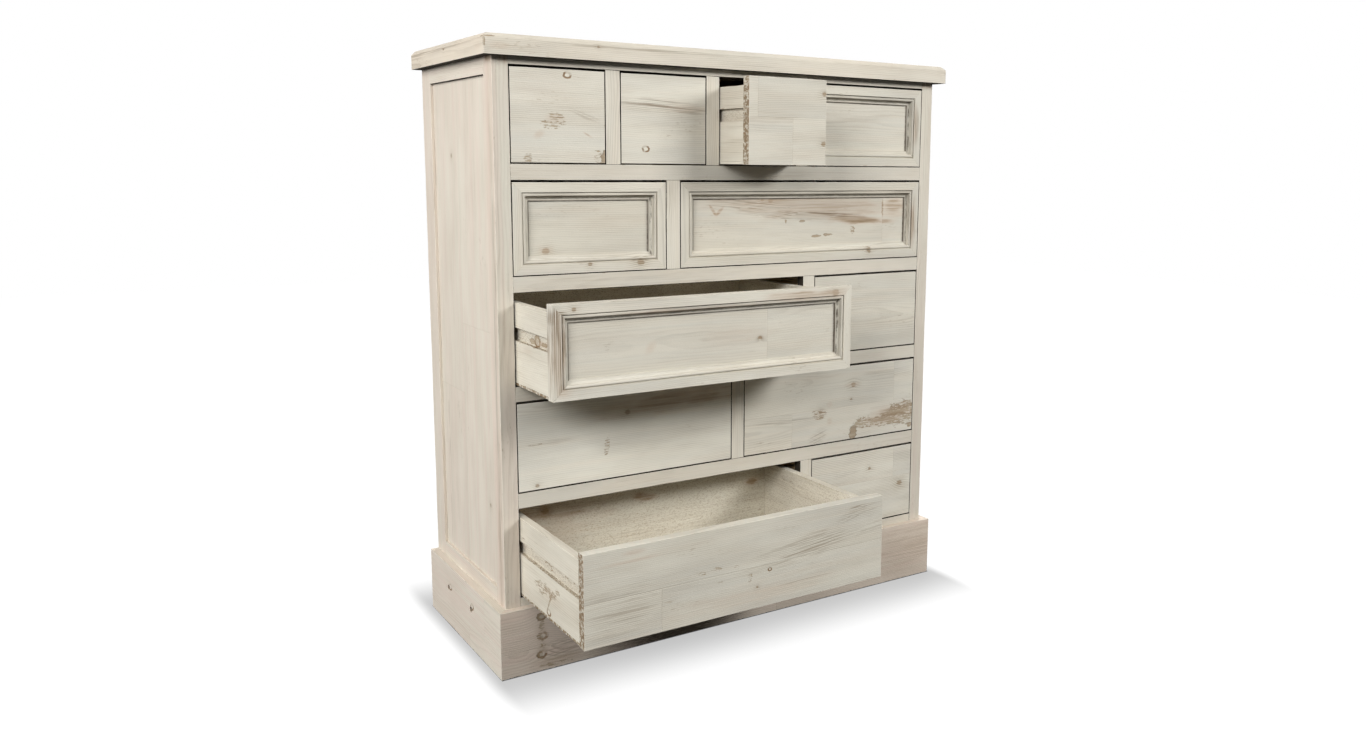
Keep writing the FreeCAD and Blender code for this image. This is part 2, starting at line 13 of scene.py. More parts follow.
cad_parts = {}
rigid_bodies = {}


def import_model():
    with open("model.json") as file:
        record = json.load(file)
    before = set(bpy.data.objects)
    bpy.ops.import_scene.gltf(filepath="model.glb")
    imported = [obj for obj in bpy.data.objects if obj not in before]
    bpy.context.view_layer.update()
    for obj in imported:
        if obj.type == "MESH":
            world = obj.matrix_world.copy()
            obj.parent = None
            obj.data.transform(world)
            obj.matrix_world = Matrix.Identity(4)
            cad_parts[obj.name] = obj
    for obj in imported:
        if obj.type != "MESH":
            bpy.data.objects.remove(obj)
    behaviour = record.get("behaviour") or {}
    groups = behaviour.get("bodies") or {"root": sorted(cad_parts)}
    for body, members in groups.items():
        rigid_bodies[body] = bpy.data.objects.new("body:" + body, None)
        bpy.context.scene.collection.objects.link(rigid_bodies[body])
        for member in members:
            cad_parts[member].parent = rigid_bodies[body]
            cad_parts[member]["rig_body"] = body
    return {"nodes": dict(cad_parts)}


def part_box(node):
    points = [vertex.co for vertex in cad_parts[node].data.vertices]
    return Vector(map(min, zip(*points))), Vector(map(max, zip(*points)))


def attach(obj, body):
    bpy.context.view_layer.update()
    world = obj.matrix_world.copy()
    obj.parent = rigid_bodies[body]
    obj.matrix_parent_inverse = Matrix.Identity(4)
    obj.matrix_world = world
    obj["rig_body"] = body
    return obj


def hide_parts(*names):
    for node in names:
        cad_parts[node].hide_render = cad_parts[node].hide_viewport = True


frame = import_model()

bl_info = {
    "name": "Painted Chest of Drawers",
    "version": (1, 0, 0),
    "blender": (4, 5, 0),
    "location": "View3D > Sidebar > Chest",
    "description": "Dresses a chest of twelve drawers in worn paint over pine",
    "category": "Object",
}

MM = 0.001

ROWS = {1: "abcd", 2: "ab", 3: "ab", 4: "ab", 5: "ab"}
DRAWERS = [f"drawer_{row}{letter}" for row, letters in ROWS.items() for letter in letters]
FRAMED = ("drawer_1d", "drawer_2a", "drawer_2b", "drawer_3a")
OPEN = ("drawer_1c", "drawer_3a", "drawer_5a")

# Marks on the boards, in millimetres from the left and the lower edge of the node as it is looked
# at from outside. On a side board, the first number is from its front edge. The boards of a drawer
# box have names of their own, which end in _left, _right and _back.
# A knot has its radius; a minus sign makes it a pale plug in a dark, broken ring.
KNOTS = {
    "drawer_1a_front": [(108, 155, -5.5)],
    "drawer_1b_front": [(51, 28, -5.5)],
    "drawer_1c_front": [(176, 138, 4), (176, 42, 4)],
    "drawer_2a_front_panel": [(41, 16, 5)],
    "drawer_2a_front_frame": [(253, 15, 5), (148, 15, 3)],
    "drawer_2b_front_panel": [(172, 104, 3), (192, 102, 4)],
    "drawer_2b_front_frame": [(468, 17, 3)],
    "drawer_3a_front_frame": [(592, 153, 6), (40, 155, 3)],
    "drawer_3a_front_panel": [(399, 51, 2.5)],
    "drawer_3b_front": [(60, 60, 3)],
    "drawer_4a_front": [(222, 125, 4), (36, 8, 3)],
    "drawer_4b_front": [(284, 122, 4.5), (279, 90, 1.5), (196, 70, 3)],
    "drawer_3a_box_left": [(62, 86, -9), (64, 86, 4)],
    "drawer_5a_box_left": [(130, 8, -6)],
    "drawer_5a_box_back": [(87, 119, 13), (292, 118, 5), (570, 104, 5)],
    "drawer_5a_front": [(368, 68, -3.2), (341, 40, 1.8)],
    "drawer_5b_front": [(161, 124, 3), (249, 78, 5)],
    "front_posts": [(995, 442, 6)],
    "top_edging": [(212, 24, 2)],
    "plinth_front": [(80, 106, -6.5), (82, 68, -7), (79, 32, -7)],
    "plinth_left": [(155, 88, -6), (286, 84, -6)],
    "side_left_panel": [(213, 805, 3), (45, 155, 3)],
}
# A cloud of brown has its reach along and across the grain, its strength and, where it leans, its
# tilt. A minus sign before the strength makes it a bundle of fine dark lines.
CLOUDS = {
    "drawer_1a_front": [
        (145, 84, 40, 8, -0.35, -0.35), (145, 52, 12, 3, 0.5, -0.5), (52, 50, 14, 10, 0.3, 0.3),
        (60, 130, 90, 40, 0.12), (84, 76, 24, 14, 0.3)],
    "drawer_1b_front": [
        (130, 108, 60, 16, 0.3, -0.04), (90, 108, 130, 18, -0.8, -0.05),
        (120, 90, 50, 8, -0.3, -0.02)],
    "drawer_1c_front": [(90, 88, 110, 2, -0.5)],
    "drawer_2a_front_panel": [(41, 16, 20, 10, 0.3), (150, 75, 120, 30, 0.08)],
    "drawer_2b_front_panel": [
        (280, 92, 330, 40, 0.5, -0.04), (290, 70, 220, 14, -0.9, -0.05),
        (415, 61, 125, 13, 0.9, -0.06), (520, 88, 44, 36, 0.6), (72, 84, 16, 8, 0.7, 0.8),
        (54, 85, 13, 8, 0.7, -1.1), (150, 90, 130, 20, -0.7, -0.08), (489, 84, 5, 34, 0.7)],
    "drawer_2b_front_frame": [(592, 82, 60, 10, 0.45), (592, 82, 60, 14, -0.9)],
    "drawer_1d_front_frame": [(290, 82, 60, 10, 0.3), (290, 82, 60, 14, -0.6)],
    "drawer_3a_front_frame": [
        (10, 86, 100, 18, 0.4), (10, 80, 110, 20, -1.0), (520, 152, 130, 14, 0.6),
        (250, 140, 260, 5, 0.5), (14, 12, 30, 12, 0.4), (8, 142, 24, 24, -1.0),
        (22, 90, 60, 6, 0.5)],
    "drawer_3a_front_panel": [
        (350, 58, 90, 20, 0.2), (166, 50, 16, 16, 0.28, 0.5), (372, 50, 10, 8, 0.28)],
    # The broad cloud along the top is a brown stain and the painted shadow of the open drawer above.
    "drawer_4a_front": [(60, 88, 70, 6, -0.25), (330, 142, 230, 34, 0.5, 0.04)],
    "drawer_4b_front": [
        (190, 16, 28, 18, -0.6, 0.3), (284, 122, 30, 7, 0.32), (220, 85, 10, 10, 0.26),
        (220, 48, 10, 9, 0.32), (120, 60, 130, 8, -0.35, -0.03), (193, 66, 24, 16, 0.22),
        (395, 44, 100, 26, 0.62, 0.1), (380, 140, 80, 14, -0.2)],
    "drawer_5a_front": [
        (70, 55, 85, 62, -0.36), (85, 139, 85, 5, 0.32, 0.03), (95, 153, 28, 7, 0.36),
        (330, 26, 210, 24, 0.25), (480, 98, 175, 28, -0.6, 0.1), (575, 138, 75, 18, -0.5, 0.12),
        (585, 152, 55, 4, -1.0, 0.02), (445, 32, 75, 2, -0.9)],
    "drawer_5b_front": [(100, 120, 60, 6, -0.4, 0.1)],
    "drawer_5a_box_left": [(125, 45, 60, 26, 0.22), (300, 92, 70, 14, 0.6)],
    # The broad clouds at the upper left of the inside of the back are painted shade in the open
    # drawer; the strong small one is the dark knot.
    "drawer_5a_box_back": [
        (90, 120, 230, 40, 0.5), (60, 60, 150, 60, 0.25), (87, 119, 17, 15, 1.1),
        (300, 114, 36, 12, 0.8, -0.15), (568, 104, 22, 12, 0.8)],
    "drawer_3a_box_left": [(90, 68, 30, 10, 0.22), (30, 84, 40, 6, 0.5)],
    "plinth_front": [
        (110, 12, 70, 12, 0.45), (80, 70, 16, 62, 0.35), (120, 40, 60, 24, -0.5, 0.1),
        (980, 70, 170, 100, 0.42)],
    # The clouds at the tops of the posts are dirt and painted shade under the edging.
    "front_posts": [
        (18, 1000, 130, 14, 0.3), (18, 200, 230, 16, 0.4), (15, 560, 560, 15, -0.5),
        (995, 442, 20, 10, 0.3), (15, 1122, 14, 30, 0.7), (995, 1122, 14, 30, 0.6),
        (17, 1098, 40, 12, 0.3)],
    "top_edging": [(28, 14, 26, 8, 0.25), (330, 25, 330, 3, -0.5)],
    # A dark band along the top of the top rail: dirt and painted shade under the edging.
    "front_rails": [(475, 1086, 620, 7, 0.9), (475, 1084, 620, 14, 0.4)],
}
# A bare spot, where the paint has come off, has the same numbers. Its strength says how much of the
# paint has gone from it.
BARE = {
    "drawer_1a_front": [
        (87, 79, 18, 10, 0.5, -0.3), (74, 68, 17, 8, 0.5, -0.1), (31, 7, 8, 10, 0.52),
        (178, 6, 8, 16, 1.0, 0.9), (166, 14, 8, 14, 0.46)],
    "drawer_2b_front_panel": [
        (231, 60, 2.5, 5, 0.8), (272, 59, 9, 2.5, 0.9), (310, 27, 13, 3, 0.75),
        (340, 29, 13, 3, 0.75, 0.06), (406, 39, 6, 10, 0.62)],
    "drawer_2b_front_frame": [(466, 20, 12, 9, 0.46), (470, 14, 3, 2, 1.0)],
    "drawer_4a_front": [(178, 64, 7, 19, 0.5, 1.6), (34, 86, 14, 2, 0.5)],
    "drawer_4b_front": [
        (286, 13, 11, 18, 0.95), (316, 33, 32, 14, 0.56), (366, 34, 44, 12, 0.5, 0.05),
        (425, 42, 52, 27, 0.6, 0.1), (193, 66, 18, 12, 0.47), (450, 12, 8, 6, 0.7)],
    "drawer_5a_front": [
        (225, 88, 8, 4, 0.48), (255, 91, 14, 5, 0.42), (325, 60, 5, 11, 0.48), (262, 65, 6, 2, 0.6),
        (300, 86, 12, 4, 0.42)],
    "drawer_5a_box_left": [
        (124, 32, 13, 4, 0.75, -1.6), (90, 58, 10, 5, 0.55), (160, 44, 30, 14, 0.5),
        (125, 46, 26, 10, 0.52), (140, 92, 20, 8, 0.5), (60, 92, 40, 5, 0.45)],
    "drawer_3a_box_left": [(30, 84, 16, 4, 0.9), (84, 84, 14, 6, 0.9), (64, 90, 14, 8, 0.8)],
    "plinth_front": [
        (100, 8, 40, 4, 0.5), (80, 88, 6, 12, 0.5), (81, 50, 6, 12, 0.5), (78, 106, 8, 8, 0.8),
        (76, 68, 6, 8, 0.6), (76, 32, 6, 8, 0.6)],
    "top_edging": [(10, 30, 10, 1.6, 1.0), (1, 22, 2, 10, 1.0)],
}
# How much lighter or darker the wash came out, in red, green and blue: on faces to the front or the
# rear, and on the others. On drawer 5a's box the darker faces to the front and the rear are painted
# shade inside the open drawer.
PLAIN = (1.0, 1.0, 1.0)
DULL_FRONTS = (
    "drawer_1c_front", "drawer_1d_front_frame", "drawer_1d_front_panel", "drawer_2a_front_panel",
    "drawer_2b_front_frame", "drawer_2b_front_panel", "drawer_3a_front_panel", "drawer_3b_front",
    "drawer_5a_front")
WASH = {
    **dict.fromkeys(DULL_FRONTS, ((0.93, 0.93, 0.925), PLAIN)),
    "front_posts": ((0.90, 0.92, 0.92), (1.0, 0.98, 0.975)),
    "top_edging": ((0.96, 0.95, 0.94), (1.0, 0.95, 0.92)),
    "plinth_front": ((1.02, 0.97, 0.955), (1.0, 0.98, 0.97)),
    "front_rails": ((0.90, 0.90, 0.90), PLAIN),
    "drawer_3a_box": ((0.96, 0.95, 0.93), (0.98, 0.98, 0.97)),
    "drawer_5a_box": ((0.86, 0.865, 0.85), (0.98, 0.98, 0.97)),
    "drawer_4a_front": ((1.08, 1.09, 1.10), PLAIN),
}
# How plainly the growth rings show through the paint of a board.
RING_SHOW = {
    "front_rails": 0.08, "front_posts": 0.5, "plinth_front": 0.5, "drawer_2b_front_panel": 0.12,
    "drawer_3a_front_panel": 0.1, "drawer_4a_front": 0.2, "drawer_4b_front": 0.12,
    "drawer_5a_front": 0.16, "drawer_5b_front": 0.35,
}
# Boards whose rings run in plain sight: where the heart lay and how it slopes, as in growth().
GROWTH = {"drawer_5a_front": (0.14, 0.03, 0.0), "drawer_2b_front_panel": (0.12, 0.03, 0.0)}
KNOTS_PER_BOARD = 5
RANDOM_KNOTS = 3
KNOT_RADII = (2.5, 6.5)
CLOUDS_PER_BOARD = 8
BARE_PER_BOARD = 6
# Seams of the glued fronts: the height of the level one, then the upright one below and above it.
SEAMS = {
    "drawer_1c_front": (90, 101, 20), "drawer_2b_front_panel": (-60, 0, 489),
    "drawer_3a_front_panel": (-60, 0, 415), "drawer_5a_front": (78, 145, -60),
    "drawer_5b_front": (95, 60, 230), "drawer_4b_front": (75, 120, 400),
}


# ---------------------------------------------------------------- what a user may change

def measure(label, about, value):
    return FloatProperty(name=label, description=about, default=value, unit="LENGTH")


class ChestSizes(PropertyGroup):
    arris: measure("Arris", "Width of the worn rounding on a board's outer edges", 0.8 * MM)
    crisp_arris: measure(
        "Crisp arris", "Width of the rounding on mouldings, grooves and joints", 0.25 * MM)
    wear_depth: measure("Wear", "Deepest hollow that wear leaves in an arris", 0.9 * MM)
    ring_width: measure("Ring width", "Growth of the pine in one year", 3.2 * MM)


def colour(label, about, value):
    return FloatVectorProperty(
        name=label, description=about, default=value, subtype="COLOR", size=3, min=0, max=1)


class ChestColours(PropertyGroup):
    paint_front: colour("Front paint", "Whitewash on the fronts", (0.73, 0.70, 0.605))
    paint_case: colour("Case paint", "Whitewash on the case", (0.74, 0.69, 0.59))
    paint_pink: colour("Pink paint", "Streaks where the pine tints the wash", (0.74, 0.635, 0.55))
    paint_cool: colour("Cool paint", "Cooler, greyer wash", (0.64, 0.62, 0.55))
    paint_grey: colour("Grey paint", "Thinner, dirtier wash", (0.56, 0.525, 0.45))
    paint_box: colour("Box paint", "Thin wash on the drawer boxes", (0.79, 0.75, 0.645))
    wood: colour("Wood", "Weathered pine under the wash", (0.40, 0.32, 0.22))
    grain: colour("Grain", "Summer growth of the weathered pine", (0.20, 0.145, 0.09))
    bleed: colour("Bleed", "Faint resin bleeding through the wash", (0.57, 0.455, 0.355))
    stain: colour("Stain", "Brown bleeding through the wash", (0.30, 0.22, 0.135))
    knot: colour("Knot", "Heart of a knot", (0.24, 0.16, 0.09))
    # Lighter than the paint: wear on rubbed arrises, and a painted highlight along the edges.
    worn: colour("Worn edge", "Rubbed edges", (0.80, 0.755, 0.655))
    end_grain: colour("End grain", "Sawn ends", (0.25, 0.205, 0.145))
    pine: colour("Pine", "Bare pine", (0.62, 0.44, 0.25))
    birch: colour("Plywood", "Face of the plywood", (0.66, 0.52, 0.34))
    # Dark colour for dirt in the mouldings, corners and screws, and for painted shade in the gaps and
    # under overhangs.
    grime: colour("Grime", "Dirt in the mouldings and corners", (0.16, 0.12, 0.08))
    steel: colour("Steel", "Zinc plated screws", (0.42, 0.41, 0.39))
    floor: colour("Floor", "Studio floor", (0.06, 0.06, 0.06))


def lamp_power(label, place, value):
    return FloatProperty(
        name=label, description=f"Power of the lamp {place}", default=value, unit="POWER")


class ChestStudio(PropertyGroup):
    floor_size: measure("Floor", "Width of the studio floor", 14.0)
    left_power: lamp_power("Left lamp", "ahead on the left", 128.0)
    right_power: lamp_power("Right lamp", "ahead on the right", 146.0)
    front_power: lamp_power("Front lamp", "above the front", 33.0)
    side_power: lamp_power("Side lamp", "beside the left side, low down", 78.0)
    rear_power: lamp_power("Rear lamp", "behind", 150.0)
    top_power: lamp_power("Top lamp", "overhead", 28.0)
    daylight: FloatProperty(
        name="Daylight", description="Strength of the even light all round", default=0.008)
    # The floor's glow right beside the chest, where its painted shadow is darkest.
    glow: FloatProperty(
        name="Floor glow", description="How white the lit floor is right beside the chest",
        default=0.54)


# ---------------------------------------------------------------- boards

MERGE = 0.01 * MM
CUT_SPACING = 28 * MM
ON_FACE = 0.2 * MM
MERGE_ANGLE = math.radians(0.5)
EDGE_ANGLE = math.radians(30)
SMOOTH_ANGLE = math.radians(20)
FLAT_ANGLE = math.radians(2)
SLIVER = 4
# Wear, as shares of the arris's width and of the deepest hollow.
WORN_REACH = 1.2
RUBS_PER_METRE, RUB_DEPTH = 34, 0.8
NICKS_PER_METRE, NICK_LEVEL, NICK_DEPTH = 90, 0.42, 2.2


def solids_of(mesh):
    """Lists the faces of each closed solid in a CAD node's mesh, where they come solid by solid."""
    spots = [tuple(round(value / MERGE) for value in vertex.co) for vertex in mesh.vertices]
    found, faces, open_edges = [], [], set()
    for face in mesh.polygons:
        corners = [spots[index] for index in face.vertices]
        for pair in zip(corners, corners[1:] + corners[:1]):
            open_edges ^= {frozenset(pair)}
        faces.append(face.index)
        if not open_edges:
            found.append(set(faces))
            faces = []
    if faces:
        raise RuntimeError(f"{mesh.name} holds a solid that isn't closed")
    return found


class Board:
    """One solid of a node: its box and its grain axes, along, across and through."""

    def __init__(self, mesh, faces):
        self.bm = bmesh.new()
        self.bm.from_mesh(mesh)
        others = [face for face in self.bm.faces if face.index not in faces]
        bmesh.ops.delete(self.bm, geom=others, context="FACES")
        bmesh.ops.remove_doubles(self.bm, verts=self.bm.verts, dist=MERGE)
        bmesh.ops.dissolve_limit(
            self.bm, angle_limit=MERGE_ANGLE, verts=self.bm.verts, edges=self.bm.edges)
        corners = [vertex.co for vertex in self.bm.verts]
        self.low = Vector([min(corner[axis] for corner in corners) for axis in range(3)])
        self.high = Vector([max(corner[axis] for corner in corners) for axis in range(3)])
        self.centre = (self.low + self.high) / 2
        self.half = (self.high - self.low) / 2
        self.along, self.across, self.through = sorted(
            range(3), key=lambda axis: -self.half[axis])

    def to_grain(self, point):
        """A point in the board's own directions, from its middle."""
        offset = point - self.centre
        return Vector((offset[self.along], offset[self.across], offset[self.through]))

    def walls_touched(self, vertex):
        """The walls of the board's box on which a vertex lies."""
        return {(axis, side) for axis in range(3) for side, wall in enumerate((self.low, self.high))
                if abs(vertex.co[axis] - wall[axis]) < ON_FACE}

    def is_arris(self, edge):
        shared = self.walls_touched(edge.verts[0]) & self.walls_touched(edge.verts[1])
        return len(shared) >= 2

    def cut_along(self):
        """Crosses the board with cuts, so that its arrises can be worn unevenly."""
        normal = Vector([float(axis == self.along) for axis in range(3)])
        length = 2 * self.half[self.along]
        count = int(length / CUT_SPACING)
        for number in range(1, count + 1):
            place = self.low + normal * length * number / (count + 1)
            geom = self.bm.verts[:] + self.bm.edges[:] + self.bm.faces[:]
            bmesh.ops.bisect_plane(self.bm, geom=geom, dist=MERGE, plane_co=place, plane_no=normal)

    def round_edges(self, edges, width):
        bmesh.ops.bevel(
            self.bm, geom=edges, offset=width, offset_type="OFFSET", affect="EDGES", segments=2,
            profile=0.5, material=-1, clamp_overlap=True)

    def wear(self, arris, crisp, depth, rng):
        self.cut_along()
        sharp = [edge for edge in self.bm.edges
                 if edge.is_convex and edge.calc_face_angle(0) > EDGE_ANGLE]
        inner = [edge for edge in sharp if not self.is_arris(edge)]
        if inner:
            self.round_edges(inner, crisp)
        outer = [edge for edge in self.bm.edges
                 if edge.calc_face_angle(0) > EDGE_ANGLE and self.is_arris(edge)]
        self.round_edges(outer, arris)
        shift = Vector([rng.uniform(0, 50) for _ in range(3)])
        self.bm.normal_update()
        for vertex in self.bm.verts:
            place = vertex.co
            gaps = sorted(self.half[axis] - abs(place[axis] - self.centre[axis])
                          for axis in range(3))
            if gaps[1] > arris * WORN_REACH:
                continue
            rub = max(noise.noise((place + shift) * RUBS_PER_METRE), 0) * RUB_DEPTH
            nick = max(noise.noise((place - shift) * NICKS_PER_METRE) - NICK_LEVEL, 0) * NICK_DEPTH
            vertex.co -= vertex.normal * depth * min(rub + nick, 1)

    def mark_sharp(self):
        """Keeps curves smooth, and flat faces flat up to the slivers of their arrises."""
        for edge in self.bm.edges:
            areas = [face.calc_area() for face in edge.link_faces]
            limit = FLAT_ANGLE if max(areas) > SLIVER * min(areas) else SMOOTH_ANGLE
            edge.smooth = edge.calc_face_angle(0) < limit


def on_board(board, node_low, across_node, up_node):
    """A place on the node, in the board's grain directions, and whether it is on the board."""
    side = 0 if board.through != 0 else 1
    point = board.centre.copy()
    point[side] = node_low[side] + across_node * MM
    point[2] = node_low[2] + up_node * MM
    inside = all(board.low[axis] <= point[axis] <= board.high[axis] for axis in (side, 2))
    return board.to_grain(point), inside


def marks_on(board, node_low, listed):
    """The marks of a node that fall on this board, in the board's grain directions."""
    found = []
    for across_node, up_node, *numbers in listed:
        spot, inside = on_board(board, node_low, across_node, up_node)
        if inside:
            found.append((spot.x, spot.y, *numbers))
    return found


def growth(rng):
    """Where the tree's heart lay across the board and under it, and how it slopes along it."""
    return (rng.uniform(-0.12, 0.12), -rng.uniform(0.012, 0.05) * rng.choice((-1, 1)),
            rng.uniform(-0.02, 0.02))


SHEETS = ("back_panel", "floor_panel")
NO_SEAM = 9.0
GLUED_WIDTH = 0.12


def seams_of(board, node, node_low, rng):
    """Where a wide board's blocks meet: the seam along it, and the ones across it on both sides."""
    if node in SEAMS:
        height, below, above = SEAMS[node]
        first, _ = on_board(board, node_low, below, height)
        second, _ = on_board(board, node_low, above, height)
        return (first.y, first.x, second.x)
    if 2 * board.half[board.across] < GLUED_WIDTH or node.startswith("drawer") or node in SHEETS:
        return (NO_SEAM, NO_SEAM, NO_SEAM)
    reach = board.half[board.along]
    return (rng.uniform(-0.2, 0.2) * 2 * board.half[board.across],
            rng.uniform(-0.8, 0.8) * reach, rng.uniform(-0.8, 0.8) * reach)


def box_board(node, board, low, high):
    """Names a board of a drawer box, for its marks."""
    if board.through == 1:
        return f"{node}_back"
    return f"{node}_{'left' if board.centre.x < (low.x + high.x) / 2 else 'right'}"


def random_knots(board, rng, wanted):
    """The few knots that any pine board has, away from its edges."""
    area = 4 * board.half[board.along] * board.half[board.across]
    knots = []
    while len(knots) < RANDOM_KNOTS and rng.random() < area * wanted:
        reach = board.half[board.along], board.half[board.across]
        knots.append((rng.uniform(-0.9, 0.9) * reach[0], rng.uniform(-0.8, 0.8) * reach[1],
                      rng.uniform(*KNOT_RADII)))
    return knots


def level(normal, place, low, high):
    return abs(normal.z) > 0.3


def gap_edges(normal, place, low, high):
    """The ends and the underside of a front with their arrises, and its top."""
    return normal.z < -0.3 or normal.z > 0.9 or abs(normal.x) > 0.4


def upright(normal, place, low, high):
    return abs(normal.x) > 0.3


def facing_middle(normal, place, low, high):
    return abs(normal.x) > 0.5 and normal.x * place.x < 0


def hidden_side(normal, place, low, high):
    return normal.y > 0.7


def underside(normal, place, low, high):
    return normal.z < -0.3


def under_rim(normal, place, low, high):
    """The underside of the edging where it stands out past the case, with its lower arris."""
    return normal.z < -0.15 and place.z < low.z + 3 * MM


def groove_floor(normal, place, low, high):
    inset = min(place.x - low.x, high.x - place.x)
    return abs(normal.x) > 0.7 and 2 * MM < inset < 10 * MM


def groove_lips(normal, place, low, high):
    inset = min(place.x - low.x, high.x - place.x)
    clear = min(place.z - low.z, high.z - place.z)
    return abs(normal.z) > 0.3 and inset < 8 * MM and clear > 10 * MM


def box_inside(normal, place, low, high):
    """The faces of a box's sides and back that face its own inside."""
    middle = (low + high) / 2
    return normal.x * (place.x - middle.x) < -0.05 or (normal.y < -0.7 and place.y > middle.y)


def outer_edge(normal, place, low, high):
    return gap_edges(normal, place, low, high) and any(
        min(place[axis] - low[axis], high[axis] - place[axis]) < 2 * MM for axis in (0, 2))


# How much dirt and painted shade a moulded frame has, against that of its members.
FRAME_DIRT_AND_SHADE = {"drawer_3a_front_frame": 1.2}
USUAL_FRAME_DIRT_AND_SHADE = 0.95
# Dirt and painted shade of a frame's member: in its grooves, and in its hollow. Members are named
# by axis and side. Most painted shade is on the top member, under its mouldings; the bottom one has
# almost none.
MEMBER_DIRT_AND_SHADE = {
    (2, 1): (1.0, 0.35), (0, -1): (0.35, 0.25), (0, 1): (0.4, 0.85), (2, -1): (0.05, 0.05)}


def padded(marks, none, count):
    return (marks + [none] * count)[:count]


def write_attributes(board, name, rng, marks, numbers, soiled_and_shaded, member_dirt_and_shade, wash, low, high):
    """Stores on the mesh what the materials read: where a point lies in its board, and its marks.

    marks has the board's knots, clouds and bare spots. numbers has what is the same all over it.
    """
    mesh = bpy.data.meshes.new(name)
    board.bm.to_mesh(mesh)
    shift = Vector([rng.uniform(0, 9) for _ in range(3)])
    inside = [board.to_grain(vertex.co) for vertex in mesh.vertices]
    half = Vector((board.half[board.along], board.half[board.across], board.half[board.through]))

    def store(label, values, domain="POINT"):
        single = isinstance(values[0], float)
        layer = mesh.attributes.new(label, "FLOAT" if single else "FLOAT_VECTOR", domain)
        layer.data.foreach_set("value" if single else "vector", values if single else [
            number for value in values for number in value])

    store("board", inside)
    store("place", [point + shift for point in inside])
    knots, clouds, bare = marks
    tone = (rng.uniform(-1, 1), rng.uniform(-1, 1), numbers.pop("show"))
    whole = {**numbers, "half": half, "tone": tone}
    for number, knot in enumerate(padded(knots, (0, 0, 0), KNOTS_PER_BOARD), 1):
        along, across, radius = knot
        whole[f"knot_{number}"] = (along, across, radius * MM)
    for kind, count, listed in (
            ("cloud", CLOUDS_PER_BOARD, clouds), ("bare", BARE_PER_BOARD, bare)):
        for number, mark in enumerate(padded(listed, (0, 0, 1, 1, 0), count), 1):
            along, across, reach, breadth, strength, tilt = (*mark, 0)[:6]
            whole[f"{kind}_{number}"] = (along, across, strength)
            whole[f"{kind}_{number}_reach"] = (reach * MM, breadth * MM, tilt)
    for label, value in whole.items():
        store(label, [value] * len(inside))
    if member_dirt_and_shade:
        axis = board.across
        side = 1 if board.centre[axis] > (low[axis] + high[axis]) / 2 else -1
        outer = board.high[axis] if side > 0 else board.low[axis]
        grooves, hollow = (member_dirt_and_shade * amount for amount in MEMBER_DIRT_AND_SHADE[axis, side])
        store("moulding", [
            (abs(vertex.co[axis] - outer), grooves, hollow) for vertex in mesh.vertices])
    faces = mesh.polygons
    store("wash", [wash[0 if abs(face.normal.y) > 0.6 else 1] for face in faces], "FACE")
    store("end_face", [float(abs(face.normal[board.along]) > 0.6) for face in faces], "FACE")
    store("soil_and_shade", [
        max([amount for rule, amount in soiled_and_shaded if rule(face.normal, face.center, low, high)],
            default=0.0) for face in faces], "FACE")
    return mesh


def dress(node, finish, arris=None, show=0.35, knottiness=2.0, soiled_and_shaded=(), moulded=None):
    """Replaces a CAD node by the same boards with worn arrises, and gives them their finish.

    show says how plainly the growth rings show, knottiness how many knots there are in a square
    metre. The soiling rules say which faces are darkened, as dirt and as painted shade, and how
    much. A minus sign makes the darkening fade away behind the front. moulded is "member" for the
    pieces of a moulded frame and "panel" for the board in it.
    """
    finish, material = finishes()[finish]
    sizes = bpy.context.scene.chest_sizes
    source = frame["nodes"][node]
    low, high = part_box(node)
    rng = random.Random(node)
    whole = bmesh.new()
    for faces in solids_of(source.data):
        board = Board(source.data, faces)
        label = box_board(node, board, low, high) if node.endswith("_box") else node
        board.wear(arris or sizes.arris, sizes.crisp_arris, sizes.wear_depth, rng)
        board.mark_sharp()
        knots, clouds, bare = (
            marks_on(board, low, table.get(label, [])) for table in (KNOTS, CLOUDS, BARE))
        knots = knots or random_knots(board, rng, knottiness)
        numbers = {
            "seams": seams_of(board, node, low, rng), "growth": GROWTH.get(node) or growth(rng),
            "lapped": float(moulded == "panel"), "show": RING_SHOW.get(node, show)}
        mesh = write_attributes(
            board, f"{node}_board", rng, (knots, clouds, bare), numbers, soiled_and_shaded,
            moulded == "member" and FRAME_DIRT_AND_SHADE.get(node, USUAL_FRAME_DIRT_AND_SHADE), WASH.get(node, (PLAIN, PLAIN)),
            low, high)
        whole.from_mesh(mesh)
        board.bm.free()
        bpy.data.meshes.remove(mesh)
    mesh = bpy.data.meshes.new(f"{node}_worn")
    whole.to_mesh(mesh)
    whole.free()
    mesh.shade_smooth()
    mesh.materials.append(material)
    piece = bpy.data.objects.new(f"{node}_worn", mesh)
    bpy.context.scene.collection.objects.link(piece)
    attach(piece, source["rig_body"])
    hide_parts(node)


# ---------------------------------------------------------------- shader building

BLACK = (0, 0, 0, 1)
WHITE = (1, 1, 1, 1)


class Signal:
    """A number, a place or a colour in a shader. Sums and products of it add their own nodes."""

    def __init__(self, socket):
        self.socket = socket

    def __add__(self, other):
        return joined("ADD", self, other)

    def __sub__(self, other):
        return joined("SUBTRACT", self, other)

    def __rsub__(self, other):
        return joined("SUBTRACT", other, self)

    def __mul__(self, other):
        return joined("MULTIPLY", self, other)

    def __truediv__(self, other):
        return joined("DIVIDE", self, other)

    def __abs__(self):
        return joined("ABSOLUTE", self)

    def scaled(self, factor, offset):
        """The number times a factor, plus an offset."""
        return joined("MULTIPLY_ADD", self, factor, offset)


